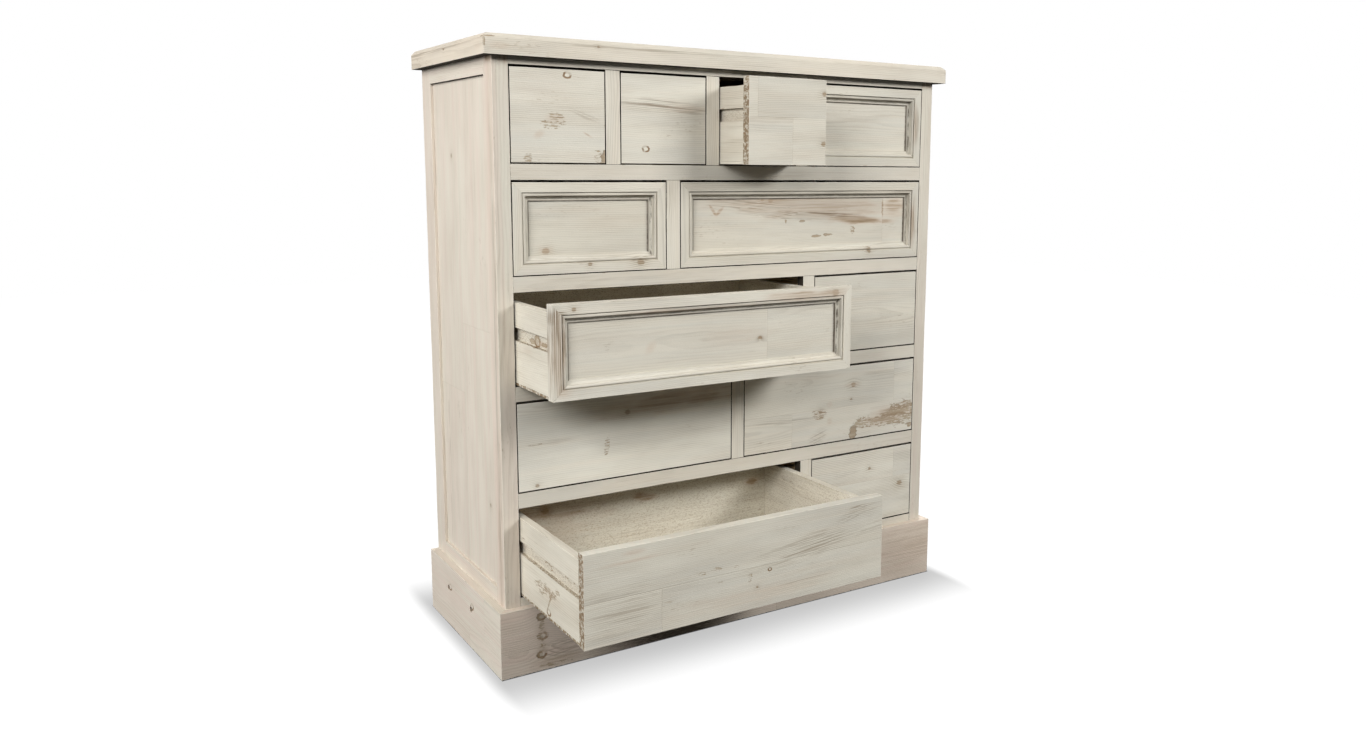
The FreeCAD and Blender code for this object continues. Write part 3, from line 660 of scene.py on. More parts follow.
def wire(tree, kind, inputs=(), **settings):
    """Adds a shader node. Each input is a signal or a socket to link, or a plain value."""
    made = tree.nodes.new(kind)
    for name, value in settings.items():
        setattr(made, name, value)
    for name, value in dict(inputs).items():
        value = getattr(value, "socket", value)
        if isinstance(value, NodeSocket):
            tree.links.new(value, made.inputs[name])
        else:
            made.inputs[name].default_value = value
    return made


def outputs_of(node):
    return {socket.name: Signal(socket) for socket in node.outputs}


def tree_of(*values):
    """The node tree of the first signal among some values."""
    return next(value.socket.id_data for value in values if isinstance(value, Signal))


def joined(operation, *values, clamp=False):
    """One step of arithmetic, on numbers, or on places or colours where the first signal is one."""
    first = next(value.socket for value in values if isinstance(value, Signal))
    if first.type == "VALUE":
        node = wire(first.id_data, "ShaderNodeMath", enumerate(values), operation=operation,
                    use_clamp=clamp)
    else:
        node = wire(first.id_data, "ShaderNodeVectorMath", enumerate(values), operation=operation)
    return Signal(node.outputs[0])


def folded(operation, values):
    """Joins any number of values by one operation."""
    return functools.reduce(lambda total, value: joined(operation, total, value), values)


def most(*values):
    return folded("MAXIMUM", values)


def least(*values):
    return folded("MINIMUM", values)


def far(run, rise):
    """The distance that a run and a rise make."""
    return joined("SQRT", run * run + rise * rise)


def ramp(value, low, high, out_low=0.0, out_high=1.0):
    """A smooth step from out_low to out_high as the value goes from low to high."""
    node = wire(tree_of(value), "ShaderNodeMapRange", {
        "Value": value, "From Min": low, "From Max": high, "To Min": out_low, "To Max": out_high},
        interpolation_type="SMOOTHSTEP")
    return Signal(node.outputs["Result"])


def mixed(amount, under, over):
    """A colour that goes from under to over."""
    tree = tree_of(amount, under, over)
    node = wire(tree, "ShaderNodeMix", {0: amount, 6: under, 7: over}, data_type="RGBA")
    return Signal(node.outputs[2])


def noise_of(place, along, across, detail=2.0, roughness=0.5):
    """Noise at so many spots a metre along the grain and across it."""
    node = wire(tree_of(place), "ShaderNodeTexNoise", {
        "Vector": place * (along, across, across), "Scale": 1.0, "Detail": detail,
        "Roughness": roughness})
    return Signal(node.outputs["Fac"])


def stored(tree, name, output="Vector"):
    return Signal(wire(tree, "ShaderNodeAttribute", attribute_name=name).outputs[output])


def parts(place):
    return [Signal(socket) for socket in wire(
        tree_of(place), "ShaderNodeSeparateXYZ", {0: place}).outputs]


def combined(tree, **axes):
    return Signal(wire(tree, "ShaderNodeCombineXYZ", axes).outputs[0])


def new_group(name, inputs, outputs):
    """A shader node group with its own named sockets. An input with no value is a place."""
    tree = bpy.data.node_groups.new(name, "ShaderNodeTree")
    for label, value in inputs.items():
        kind = "Vector" if value is None else "Color" if isinstance(value, tuple) else "Float"
        socket = tree.interface.new_socket(
            name=label, in_out="INPUT", socket_type=f"NodeSocket{kind}")
        if value is not None:
            socket.default_value = value
    for label in outputs:
        kind = "Color" if label == "Color" else "Float"
        tree.interface.new_socket(name=label, in_out="OUTPUT", socket_type=f"NodeSocket{kind}")
    return tree, outputs_of(tree.nodes.new("NodeGroupInput"))


def finish_group(tree, results):
    wire(tree, "NodeGroupOutput", results)
    return tree


def use_group(tree, group, values=()):
    return outputs_of(wire(tree, "ShaderNodeGroup", values, node_tree=group))


# ---------------------------------------------------------------- what the boards show

LEAST_RADIUS = 0.01 * MM
KNOT_PUSH = 0.8


def knot_group():
    """The knots of a board: their hearts, rims and surroundings, and how they push the grain."""
    found = {"Heart": [], "Rim": [], "Halo": [], "Swirl": [], "Plug": []}
    tree, given = new_group("Knots", {"Place": None}, found)
    along, across, _ = parts(stored(tree, "board"))
    ragged = noise_of(given["Place"], 120, 520, 3, 0.6)
    bent = noise_of(given["Place"], 60, 70, 1)
    for number in range(1, KNOTS_PER_BOARD + 1):
        knot_along, knot_across, size = parts(stored(tree, f"knot_{number}"))
        radius = abs(size)
        plug = joined("LESS_THAN", size, 0.0)
        solid = 1.0 - plug
        rise = across - knot_across
        grown = far((along - knot_along) * 0.78, rise) / most(radius, LEAST_RADIUS)
        uneven = grown + (ragged.scaled(1.5, -0.75) + bent.scaled(0.9, -0.45))
        ring = uneven + (grown - uneven) * 0.55 * plug
        crescent = ramp(bent + rise / most(radius, LEAST_RADIUS) * -0.10, 0.36, 0.56, 0.35, 1.25)
        falloff = joined("EXPONENT", grown * grown * -0.12)
        found["Heart"].append(ramp(uneven, 1.15, 0.35) * solid)
        found["Rim"].append(ramp(ring, 0.48, 0.74) * ramp(ring, 1.36, 1.08)
                            * (crescent * plug + solid * 0.35))
        found["Plug"].append(ramp(ring, 0.62, 0.42) * plug)
        found["Halo"].append(falloff * solid)
        found["Swirl"].append(falloff * (radius * KNOT_PUSH))
    return finish_group(tree, {
        label: folded("ADD" if label == "Swirl" else "MAXIMUM", values)
        for label, values in found.items()})


def grain_group():
    """Growth rings cut by the board's faces, and the fibres along them."""
    tree, given = new_group(
        "Grain", {"Place": None, "Ring Width": 0.003, "Waviness": 0.006, "Push": 0.0, "Block": 0.0},
        ("Rings", "Fibre", "Streak"))
    place, waviness = given["Place"], given["Waviness"]
    along, across, through = parts(stored(tree, "board"))
    heart_across, heart_under, slope = parts(stored(tree, "growth"))
    radius = far(through - along.scaled(slope, heart_under),
                 across - given["Block"].scaled(0.045, heart_across))
    bend = noise_of(place, 2.4, 9) - 0.5
    ripple = noise_of(place, 14, 60) - 0.5
    grown = ripple.scaled(waviness * 0.35, bend.scaled(waviness * 4.0, radius)) + given["Push"]
    year = joined("FRACT", grown / given["Ring Width"])
    return finish_group(tree, {
        "Rings": ramp(year, 0.30, 0.86) * ramp(year, 1.0, 0.92),
        "Fibre": noise_of(place, 13, 620, 3, 0.7), "Streak": noise_of(place, 1.6, 75, 4, 0.62)})


def marks_group():
    """Brown clouds and fine dark lines in the paint, and crisp spots where it has come off."""
    tree, given = new_group(
        "Marks", {"Place": None}, ("Cloud", "Lines", "Bundle", "Bare", "Outline"))
    place = given["Place"]
    along, across, _ = parts(stored(tree, "board"))
    drift = (noise_of(place, 16, 60, 3) - 0.5) * 1.1
    torn = (noise_of(place, 70, 260, 4, 0.65) - 0.5) * 2.2

    def spot(name, wander):
        """How far a point lies from a mark's middle, in its reaches, its strength and its lean."""
        spot_along, spot_across, strength = parts(stored(tree, name))
        reach, breadth, tilt = parts(stored(tree, f"{name}_reach"))
        run = along - spot_along
        lean = run * tilt
        away = far(run / reach, (across - spot_across - lean) / breadth)
        return wander + away, strength, lean

    clouds, bundles, leans, cores, outlines = [], [], [], [], []
    for number in range(1, CLOUDS_PER_BOARD + 1):
        edge, strength, lean = spot(f"cloud_{number}", drift)
        mask = ramp(edge, 1.05, 0.25)
        clouds.append(mask * strength)
        bundles.append(mask * most(strength * -1.0, 0.0))
        leans.append(lean * joined("GREATER_THAN", bundles[-1], 0.001))
    for number in range(1, BARE_PER_BOARD + 1):
        edge, strength, _ = spot(f"bare_{number}", torn)
        cores.append(ramp(edge, 1.0, 0.90) * strength)
        outlines.append(ramp(edge, 0.62, 0.86) * ramp(cores[-1], 0.55, 0.95))
    sheared = place - combined(tree, Y=folded("ADD", leans))
    fine = ramp(noise_of(sheared, 5, 330, 2, 0.6), 0.48, 0.62)
    soft = ramp(noise_of(place, 7, 200, 3, 0.6), 0.36, 0.66, 0.55, 1.0)
    flecks = noise_of(place, 85, 380, 3, 0.65)
    gone = ramp(most(*cores).scaled(0.62, flecks), 0.78, 0.88)
    bundle = most(*bundles)
    return finish_group(tree, {
        "Cloud": most(*clouds) * soft, "Lines": bundle * fine, "Bundle": bundle, "Bare": gone,
        "Outline": most(*outlines) * gone})


def arris_group():
    """How near a point is to its board's outer edges, broken up as wear is, and the sawn ends."""
    tree, given = new_group("Arris", {"Place": None, "Width": 0.003}, ("Rubbed and Highlit", "Chips", "End"))
    gaps = parts(stored(tree, "half") - abs(stored(tree, "board")))
    gap = (folded("ADD", gaps) - least(*gaps) - most(*gaps)) / given["Width"]
    rub = noise_of(given["Place"], 26, 120, 4, 0.6)
    chip = noise_of(given["Place"], 55, 190, 4, 0.65)
    # The first mask marks the arrises that are painted lighter: wear, and a painted highlight.
    return finish_group(tree, {
        "Rubbed and Highlit": ramp(gap + rub.scaled(2.4, -1.2), 0.9, 0.3),
        "Chips": ramp(gap.scaled(-0.045, chip), 0.60, 0.645),
        "End": stored(tree, "end_face", "Fac")})


# The lines of a moulding, from a member's outer edge, and how far the member laps over the panel.
QUIRK = 18.9 * MM
BEAD_FOOT = 25.2 * MM
HOLLOW = 28.5 * MM
FRAME_EDGE = 33.3 * MM
PANEL_LAP = 8.5 * MM


def moulding_dirt_and_shade_group():
    """Darkens a frame's moulding along the lines where its curves meet, in its hollow and round its
    panel: dirt, and painted shade that is strongest on the top member, with a painted shadow line at
    the panel.
    """
    tree, given = new_group("Moulding Dirt", {"Place": None}, ("Dirt and Shade",))
    distance, grooves, hollow = parts(stored(tree, "moulding"))
    broken = ramp(noise_of(given["Place"], 9, 80, 4, 0.65), 0.34, 0.60, 0.35, 1.0)
    blots = ramp(noise_of(given["Place"], 38, 130, 4, 0.65), 0.42, 0.62)

    def line(centre, reach):
        return ramp(abs(distance - centre), reach, reach * 0.25)

    crease = most(line(QUIRK, 1.8 * MM) * 0.7, line(BEAD_FOOT, 2.0 * MM)) * grooves
    between = line((QUIRK + BEAD_FOOT) / 2 - 1 * MM, 2.6 * MM) * (grooves * 0.4)
    pool = line(HOLLOW, 3.2 * MM) * blots * hollow
    edge = line(FRAME_EDGE, 2.0 * MM) * broken.scaled(0.5, 0.5) * ramp(grooves + hollow, 0.1, 0.6)
    half, board = stored(tree, "half"), stored(tree, "board")
    along, _, _ = parts(half - abs(board))
    _, above, _ = parts(half - board)
    beside = (ramp(least(along, above) - PANEL_LAP, 2.2 * MM, 0.3 * MM)
              * stored(tree, "lapped", "Fac") * blots.scaled(0.6, 0.4))
    return finish_group(tree, {"Dirt and Shade": most(most(crease, between) * broken, pool, edge, beside)})


SEAM_WIDTH = 0.9 * MM


def glued_blocks(tree):
    """A glued board's four blocks: a block's number, its own place in the wood, and the seams."""
    along, across, _ = parts(stored(tree, "board"))
    seam_across, seam_low, seam_high = parts(stored(tree, "seams"))
    upper = joined("GREATER_THAN", across, seam_across)
    seam_along = upper.scaled(seam_high - seam_low, seam_low)
    number = upper.scaled(2.0, joined("GREATER_THAN", along, seam_along))
    shift = combined(tree, X=number * 1.37, Y=number * 0.83, Z=number * 0.59)
    beside = least(abs(across - seam_across), abs(along - seam_along))
    return number, stored(tree, "place") + shift, ramp(beside, SEAM_WIDTH, SEAM_WIDTH / 4)


PAINT_COLOURS = ("Paint", "Patch", "Streak", "Wood", "Grain", "Bleed", "Stain", "Knot", "Worn",
                 "End Grain", "Grime")
PAINT_AMOUNTS = {
    "Patchiness": 0.5, "Streakiness": 0.5, "Thinness": 0.2, "Brush Show": 0.25, "Grain Show": 0.3,
    "Fleck Show": 0.3, "Edge Wear and Highlight": 0.5, "Edge Width": 0.0014, "Ring Width": 0.0032,
    "Waviness": 0.006, "Dirt Show": 0.9, "Seam Show": 0.2}


def paint_group():
    """Thin paint over pine: the wood shows where the paint is thin, rubbed, stained or chipped.
    Painted shade darkens gaps, undersides and mouldings, and arrises are lightened partly as a
    painted highlight.
    """
    tree, given = new_group(
        "Paint over Pine", {**dict.fromkeys(PAINT_COLOURS, (0.5, 0.5, 0.5, 1)), **PAINT_AMOUNTS},
        ("Color", "Roughness", "Height"))
    tone, warmth, show = parts(stored(tree, "tone"))
    block, place, seam = glued_blocks(tree)
    knot = use_group(tree, knot_group(), {"Place": place})
    pine = use_group(tree, grain_group(), {
        "Place": place, "Ring Width": given["Ring Width"], "Waviness": given["Waviness"],
        "Push": knot["Swirl"], "Block": block})
    mark = use_group(tree, marks_group(), {"Place": place})
    edge = use_group(tree, arris_group(), {"Place": place, "Width": given["Edge Width"]})
    lines = use_group(tree, moulding_dirt_and_shade_group(), {"Place": place})["Dirt and Shade"]

    own = joined("FRACT", block.scaled(0.37, tone * 0.5)) - 0.5
    patches = ramp(own.scaled(0.11, noise_of(place, 3.2, 15, 3)), 0.36, 0.66)
    coat = mixed(patches * given["Patchiness"], given["Paint"], given["Patch"])
    streaks = ramp(warmth.scaled(0.05, pine["Streak"]), 0.40, 0.68)
    coat = mixed(streaks * given["Streakiness"], coat, given["Streak"]) * stored(tree, "wash")

    fibres = ramp(pine["Fibre"], 0.50, 0.75)
    wood = mixed(pine["Rings"].scaled(0.6, fibres * 0.4), given["Wood"], given["Grain"])
    wood = mixed(knot["Heart"] * 0.6, wood, given["Stain"])
    wood = mixed(knot["Rim"] * 0.95, wood, given["Knot"])

    thin = ramp(noise_of(place, 5, 26, 4, 0.6), 0.30, 0.72)
    strokes = ramp(noise_of(place, 6, 420, 3, 0.65), 0.50, 0.78)
    clusters = ramp(noise_of(place, 7, 16), 0.58, 0.70)
    flecks = ramp(noise_of(place, 75, 330), 0.60, 0.68)
    shown = thin.scaled(0.8, 0.25)
    bare = (shown * given["Thinness"] + strokes * given["Brush Show"] * shown
            + pine["Rings"] * given["Grain Show"] * shown * knot["Halo"].scaled(0.7, show)
            + knot["Halo"] * 0.10 + knot["Heart"] * 0.55 + knot["Rim"] * 0.75
            + flecks * clusters * given["Fleck Show"] + seam * given["Seam Show"] * shown)
    shade = mixed(least(bare, 1.0), coat, wood)
    shade = mixed(joined("MULTIPLY", mark["Cloud"], 1.4, clamp=True), shade, given["Bleed"])
    shade = mixed(ramp(mark["Cloud"], 0.22, 0.85), shade, given["Stain"])
    drawn = most(mark["Lines"], mark["Bundle"] * pine["Rings"] * 0.5)
    shade = mixed(drawn, shade, given["Grain"])

    worn_wood = mixed(ramp(pine["Streak"], 0.35, 0.65), given["Wood"], given["Stain"])
    worn_wood = mixed(fibres * 0.35, worn_wood, given["Paint"])
    worn_wood = mixed(mark["Outline"] * 0.75, worn_wood, given["Grain"])
    shade = mixed(mark["Bare"] * 0.85, shade, worn_wood)
    shade = mixed(knot["Plug"] * 0.3, shade, given["Worn"])
    rough_wood = mixed(fibres, given["Stain"], given["Grain"])
    shade = mixed(edge["Chips"] * given["Edge Wear and Highlight"], shade, rough_wood)
    # Arrises turn lighter: wear, and a painted highlight along the edges.
    shade = mixed(edge["Rubbed and Highlit"] * given["Edge Wear and Highlight"], shade, given["Worn"])

    sawn = noise_of(place, 40, 300, 4, 0.7)
    smears = ramp(noise_of(place, 50, 170, 4, 0.65), 0.46, 0.62, 0.0, 0.7)
    cut = mixed(ramp(sawn, 0.35, 0.65), given["End Grain"], given["Knot"])
    cut = mixed(pine["Rings"] * 0.5, cut, given["Knot"])
    shade = mixed(edge["End"], shade, mixed(smears, cut, given["Paint"]))

    # Dirt and painted shade in the mouldings, darkest on the top members.
    shade = mixed(lines * given["Dirt Show"], shade, mixed(0.5, given["Grime"], BLACK))
    # Faces that the soiling map marks turn brown to near black: dirt in the box grooves and insides,
    # and painted shade in the gaps round the drawers, under overhangs and inside the case.
    speckle = ramp(noise_of(place, 260, 520, 3, 0.75), 0.30, 0.70)
    soil_and_shade = stored(tree, "soil_and_shade", "Fac")
    _, _, depth = parts(stored(tree, "board") + stored(tree, "half"))
    soil_and_shade = most(soil_and_shade, soil_and_shade * ramp(depth, 3.5 * MM, 8 * MM, -1.0, -0.3))
    soiled_and_shaded = soil_and_shade * 1.6 - speckle
    dark_soil_and_shade = mixed(ramp(soil_and_shade, 0.35, 0.8), given["Stain"], mixed(0.85, given["Grime"], BLACK))
    shade = mixed(ramp(soiled_and_shaded, 0.0, 0.35) * ramp(soil_and_shade, 0.2, 0.8, 0.55, 0.97), shade, dark_soil_and_shade)

    height = pine["Fibre"].scaled(0.6, noise_of(place, 7, 300) * 0.6)
    for value, weight in (
            (pine["Rings"] * (show + 0.1), -0.5), (knot["Rim"], -0.6), (edge["Chips"], -0.5),
            (mark["Bare"], -0.4), (seam, -0.5), (sawn * edge["End"], 1.8), (soiled_and_shaded, 0.2)):
        height = value.scaled(weight, height)
    rough = mark["Bare"].scaled(0.2, patches.scaled(0.10, 0.56))
    rough = joined("MULTIPLY_ADD", soil_and_shade, 0.4, edge["End"].scaled(0.2, rough), clamp=True)
    return finish_group(tree, {"Color": shade, "Roughness": rough, "Height": height})


# ---------------------------------------------------------------- finishes

BUMP_DEPTH = 0.4 * MM
SPECULAR_LEVEL = 0.12


def opaque(rgb):
    return (*rgb, 1.0)


def bare_material(name):
    material = bpy.data.materials.new(name)
    material.use_nodes = True
    material.node_tree.nodes.clear()
    return material, material.node_tree


def surface(tree, inputs):
    shader = wire(tree, "ShaderNodeBsdfPrincipled", inputs)
    wire(tree, "ShaderNodeOutputMaterial", {"Surface": shader.outputs["BSDF"]})


def painted(name, group, colours, amounts):
    """A painted pine finish: the group's colours and amounts, then the shader and its bump."""
    palette = bpy.context.scene.chest_colours
    material, tree = bare_material(name)
    values = {label: opaque(getattr(palette, colours.get(label, label.lower().replace(" ", "_"))))
              for label in PAINT_COLOURS}
    paint = use_group(tree, group, {**values, **amounts})
    bump = wire(tree, "ShaderNodeBump", {
        "Height": paint["Height"], "Strength": 1.0, "Distance": BUMP_DEPTH})
    surface(tree, {
        "Base Color": paint["Color"], "Roughness": paint["Roughness"],
        "Normal": bump.outputs["Normal"], "Specular IOR Level": SPECULAR_LEVEL})
    material.diffuse_color = values["Paint"]
    return material


def screw_steel():
    """Dull zinc with dirt in it."""
    palette = bpy.context.scene.chest_colours
    material, tree = bare_material("screw_steel")
    place = Signal(wire(tree, "ShaderNodeTexCoord").outputs["Object"])
    dirt = ramp(noise_of(place, 700, 700, 3), 0.42, 0.62)
    surface(tree, {
        "Base Color": mixed(dirt, opaque(palette.steel), opaque(palette.grime)), "Metallic": 0.9,
        "Roughness": ramp(dirt, 0.0, 1.0, 0.38, 0.7)})
    return material


# A finish has its slot, its own name, the colours that aren't of their own name, and its amounts.
FINISHES = {
    "front": ("painted_drawer_front", "painted_front",
              {"Paint": "paint_front", "Patch": "paint_cool", "Streak": "paint_case"},
              {"Patchiness": 0.8, "Streakiness": 0.6, "Thinness": 0.16, "Brush Show": 0.22,
               "Grain Show": 0.9}),
    "case": ("painted_case", "painted_case",
             {"Paint": "paint_case", "Patch": "paint_cool", "Streak": "paint_front"},
             {"Patchiness": 0.7, "Streakiness": 0.5, "Thinness": 0.16, "Brush Show": 0.45,
              "Grain Show": 0.6}),
    "side": ("painted_case", "painted_side",
             {"Paint": "paint_case", "Patch": "paint_pink", "Streak": "paint_pink"},
             {"Patchiness": 0.4, "Streakiness": 0.75, "Thinness": 0.12, "Brush Show": 0.3,
              "Grain Show": 0.4}),
    "box": ("painted_drawer_box", "painted_box",
            {"Paint": "paint_box", "Patch": "paint_grey", "Streak": "paint_case"},
            {"Patchiness": 0.45, "Streakiness": 0.6, "Thinness": 0.22, "Fleck Show": 0.6,
             "Brush Show": 0.5}),
    "pine": ("bare_pine", "bare_pine",
             {"Paint": "pine", "Patch": "pine", "Streak": "birch", "Worn": "pine"},
             {"Thinness": 0.5, "Grain Show": 1.2, "Edge Wear and Highlight": 0.3}),
    "plywood": ("plywood", "plywood",
                {"Paint": "birch", "Patch": "pine", "Streak": "birch", "Worn": "birch"},
                {"Patchiness": 0.25, "Grain Show": 0.7, "Edge Wear and Highlight": 0.2, "Ring Width": 0.011,
                 "Waviness": 0.03, "Seam Show": 0.0}),
    "washed_ply": ("plywood", "washed_plywood",
                   {"Paint": "paint_box", "Patch": "paint_grey", "Streak": "paint_grey"},
                   {"Patchiness": 0.5, "Grain Show": 0.4, "Edge Wear and Highlight": 0.3, "Ring Width": 0.011,
                    "Waviness": 0.03, "Fleck Show": 0.6, "Seam Show": 0.0}),
}


@functools.cache
def finishes():
    """The slot and the material of each finish, all made the first time that one is needed."""
    group = paint_group()
    width = bpy.context.scene.chest_sizes.ring_width
    shared = {"Ring Width": width, "Waviness": 2 * width}
    made = {key: (slot, painted(label, group, colours, {**shared, **amounts}))
            for key, (slot, label, colours, amounts) in FINISHES.items()}
    return {**made, "steel": ("screw_steel", screw_steel())}


# ---------------------------------------------------------------- operators

# Round a shut drawer, the edges by the gaps are darkened near black at the front and fade behind it:
# painted shade in the gaps, with some dirt.
GAP_GRIME_AND_SHADE = -1.0


class CHEST_OT_top(Operator):
    """Dress the boards of the top and the edging round them"""
    bl_idname = "chest.top"
    bl_label = "Top"

    def execute(self, context):
        dress("top_boards", "case")
        # The edging's underside is darkened near black: painted shade under the overhang.
        dress("top_edging", "case", arris=1.6 * MM, knottiness=1, soiled_and_shaded=((under_rim, 1.0),))
        return {"FINISHED"}


class CHEST_OT_posts(Operator):
    """Dress the four corner posts"""
    bl_idname = "chest.posts"
    bl_label = "Posts"

    def execute(self, context):
        for node in ("front_posts", "rear_posts"):
            # Post faces toward the middle are darkened near black: painted shade in the gaps by the
            # drawers and inside the case.
            dress(node, "side", knottiness=4, soiled_and_shaded=((facing_middle, 1.0),))
        return {"FINISHED"}


class CHEST_OT_sides(Operator):
    """Dress the framed sides and their panels"""
    bl_idname = "chest.sides"
    bl_label = "Sides"

    def execute(self, context):
        for side in ("left", "right"):
            # The rails' undersides are darkened near black: painted shade under the rails and over
            # the sunk panels.
            dress(f"side_{side}_rails", "side", arris=0.7 * MM, knottiness=0,
                  soiled_and_shaded=((underside, 1.0),))
            dress(f"side_{side}_panel", "side", knottiness=0.5)
        return {"FINISHED"}


class CHEST_OT_rails(Operator):
    """Dress the rails between the rows and the uprights between the drawers"""
    bl_idname = "chest.rails"
    bl_label = "Rails and uprights"

    def execute(self, context):
        for node, edges in (("front_rails", level), ("front_dividers", upright)):
            # Faces toward the drawer openings are darkened near black, and the rear faces nearly as
            # much: painted shade in the gaps and inside the case, with dirt.
            dress(node, "case", arris=0.6 * MM, soiled_and_shaded=((edges, 1.0), (hidden_side, 0.8)))
        return {"FINISHED"}


class CHEST_OT_inner_boards(Operator):
    """Dress the bare boards inside: rear rails, partitions, runners and bearers"""
    bl_idname = "chest.inner_boards"
    bl_label = "Inner boards"

    def execute(self, context):
        for node in ("rear_rails", "partitions", "drawer_runners", "floor_bearers"):
            dress(node, "pine", arris=0.8 * MM, show=0.6)
        return {"FINISHED"}


class CHEST_OT_plywood(Operator):
    """Dress the plywood back and the floor panel"""
    bl_idname = "chest.plywood"
    bl_label = "Back and floor"

    def execute(self, context):
        for node in SHEETS:
            dress(node, "plywood", arris=0.4 * MM, knottiness=3)
        return {"FINISHED"}


class CHEST_OT_plinth(Operator):
    """Dress the plinth boards and their screws"""
    bl_idname = "chest.plinth"
    bl_label = "Plinth"

    def execute(self, context):
        for node in ("plinth_left", "plinth_right", "plinth_front"):
            dress(node, "side", arris=1.6 * MM, knottiness=1)
        dress("plinth_screws", "steel", arris=0.3 * MM)
        return {"FINISHED"}


class CHEST_OT_plain_fronts(Operator):
    """Dress the plain drawer fronts"""
    bl_idname = "chest.plain_fronts"
    bl_label = "Plain fronts"

    def execute(self, context):
        for drawer in DRAWERS:
            if drawer not in FRAMED:
                # Shut fronts get painted shade on their edges by the gaps.
                soiled_and_shaded = () if drawer in OPEN else ((gap_edges, GAP_GRIME_AND_SHADE),)
                dress(f"{drawer}_front", "front", show=0.2, knottiness=0.6, soiled_and_shaded=soiled_and_shaded)
        return {"FINISHED"}


class CHEST_OT_framed_fronts(Operator):
    """Dress the moulded frames and the panels in them"""
    bl_idname = "chest.framed_fronts"
    bl_label = "Framed fronts"

    def execute(self, context):
        for drawer in FRAMED:
            soiled_and_shaded = () if drawer in OPEN else ((outer_edge, GAP_GRIME_AND_SHADE),)
            dress(f"{drawer}_front_frame", "front", show=0.2, knottiness=0.6, soiled_and_shaded=soiled_and_shaded,
                  moulded="member")
            dress(f"{drawer}_front_panel", "front", arris=0.4 * MM, show=0.2, knottiness=0.6,
                  moulded="panel")
        return {"FINISHED"}


class CHEST_OT_boxes(Operator):
    """Dress the drawer boxes and their bottoms"""
    bl_idname = "chest.boxes"
    bl_label = "Drawer boxes"

    def execute(self, context):
        for drawer in DRAWERS:
            dress(f"{drawer}_box", "box", knottiness=1,
                  soiled_and_shaded=((groove_floor, 0.30), (groove_lips, 0.50), (box_inside, 0.27)))
            # The bottoms' undersides are darkened: painted shade under the drawers.
            dress(f"{drawer}_bottom", "washed_ply", arris=0.4 * MM, knottiness=0,
                  soiled_and_shaded=((underside, 0.40),))
        return {"FINISHED"}


# ---------------------------------------------------------------- studio

FRAME_SIZE = (1367, 750)
PRINCIPAL_POINT = (757.0, 330.0)
FOCAL_LENGTH = 1097.6
SENSOR_WIDTH = 36.0
CAMERA_PLACE = Vector((-1.1854, -2.0534, 0.9399))
CAMERA_TURN = math.radians(33.55)
CAMERA_RISE = math.radians(-8.48)
CAMERA_ROLL = math.radians(0.52)


def make_camera():
    """A camera at the viewing angle, with its picture's middle shifted to the principal point."""
    width, height = FRAME_SIZE
    data = bpy.data.cameras.new("camera")
    data.sensor_width = SENSOR_WIDTH
    data.lens = SENSOR_WIDTH * FOCAL_LENGTH / width
    data.shift_x = (width / 2 - PRINCIPAL_POINT[0]) / width
    data.shift_y = (PRINCIPAL_POINT[1] - height / 2) / width
    data.clip_end = 50
    camera = bpy.data.objects.new("camera", data)
    bpy.context.scene.collection.objects.link(camera)
    turn, rise, roll = (Matrix.Rotation(angle, 4, axis) for angle, axis in (
        (-CAMERA_TURN, "Z"), (math.pi / 2 + CAMERA_RISE, "X"), (CAMERA_ROLL, "Z")))
    camera.matrix_world = Matrix.Translation(CAMERA_PLACE) @ turn @ rise @ roll
    bpy.context.scene.camera = camera


LAMP_TARGET = Vector((0, -0.2, 0.6))
LAMP_DISTANCE = 4.5


def make_lamp(name, turn, rise, size, power):
    """A soft lamp, turned about the chest from its front and raised over the floor."""
    aside, ahead, up = (
        math.sin(turn) * math.cos(rise), -math.cos(turn) * math.cos(rise), math.sin(rise))
    data = bpy.data.lights.new(name, "AREA")
    data.shape = "RECTANGLE"
    data.size, data.size_y = size
    data.energy = power
    lamp = bpy.data.objects.new(name, data)
    bpy.context.scene.collection.objects.link(lamp)
    way = Vector((aside, ahead, up))
    lamp.location = LAMP_TARGET + LAMP_DISTANCE * way
    lamp.rotation_euler = (-way).to_track_quat("-Z", "Y").to_euler()


def shows_white(tree):
    """1 for the rays that see the background: the camera's, and those of gloss and glass."""
    path = outputs_of(wire(tree, "ShaderNodeLightPath"))
    return most(path["Is Camera Ray"], path["Is Glossy Ray"], path["Is Transmission Ray"])


def make_world(daylight):
    world = bpy.data.worlds.new("studio")
    world.use_nodes = True
    tree = world.node_tree
    tree.nodes.clear()
    light = wire(tree, "ShaderNodeBackground", {
        "Color": WHITE, "Strength": most(shows_white(tree), daylight)})
    wire(tree, "ShaderNodeOutputWorld", {"Surface": light.outputs["Background"]})
    bpy.context.scene.world = world


# The painted shadow round the plinth: how far it reaches, how much narrower it is beside the sides,
# and the painted dark line at the plinth's foot.
SHADE_REACH = 200 * MM
SIDE_SHADE = 5.0
PAINTED_FOOT_SHADOW = 5 * MM


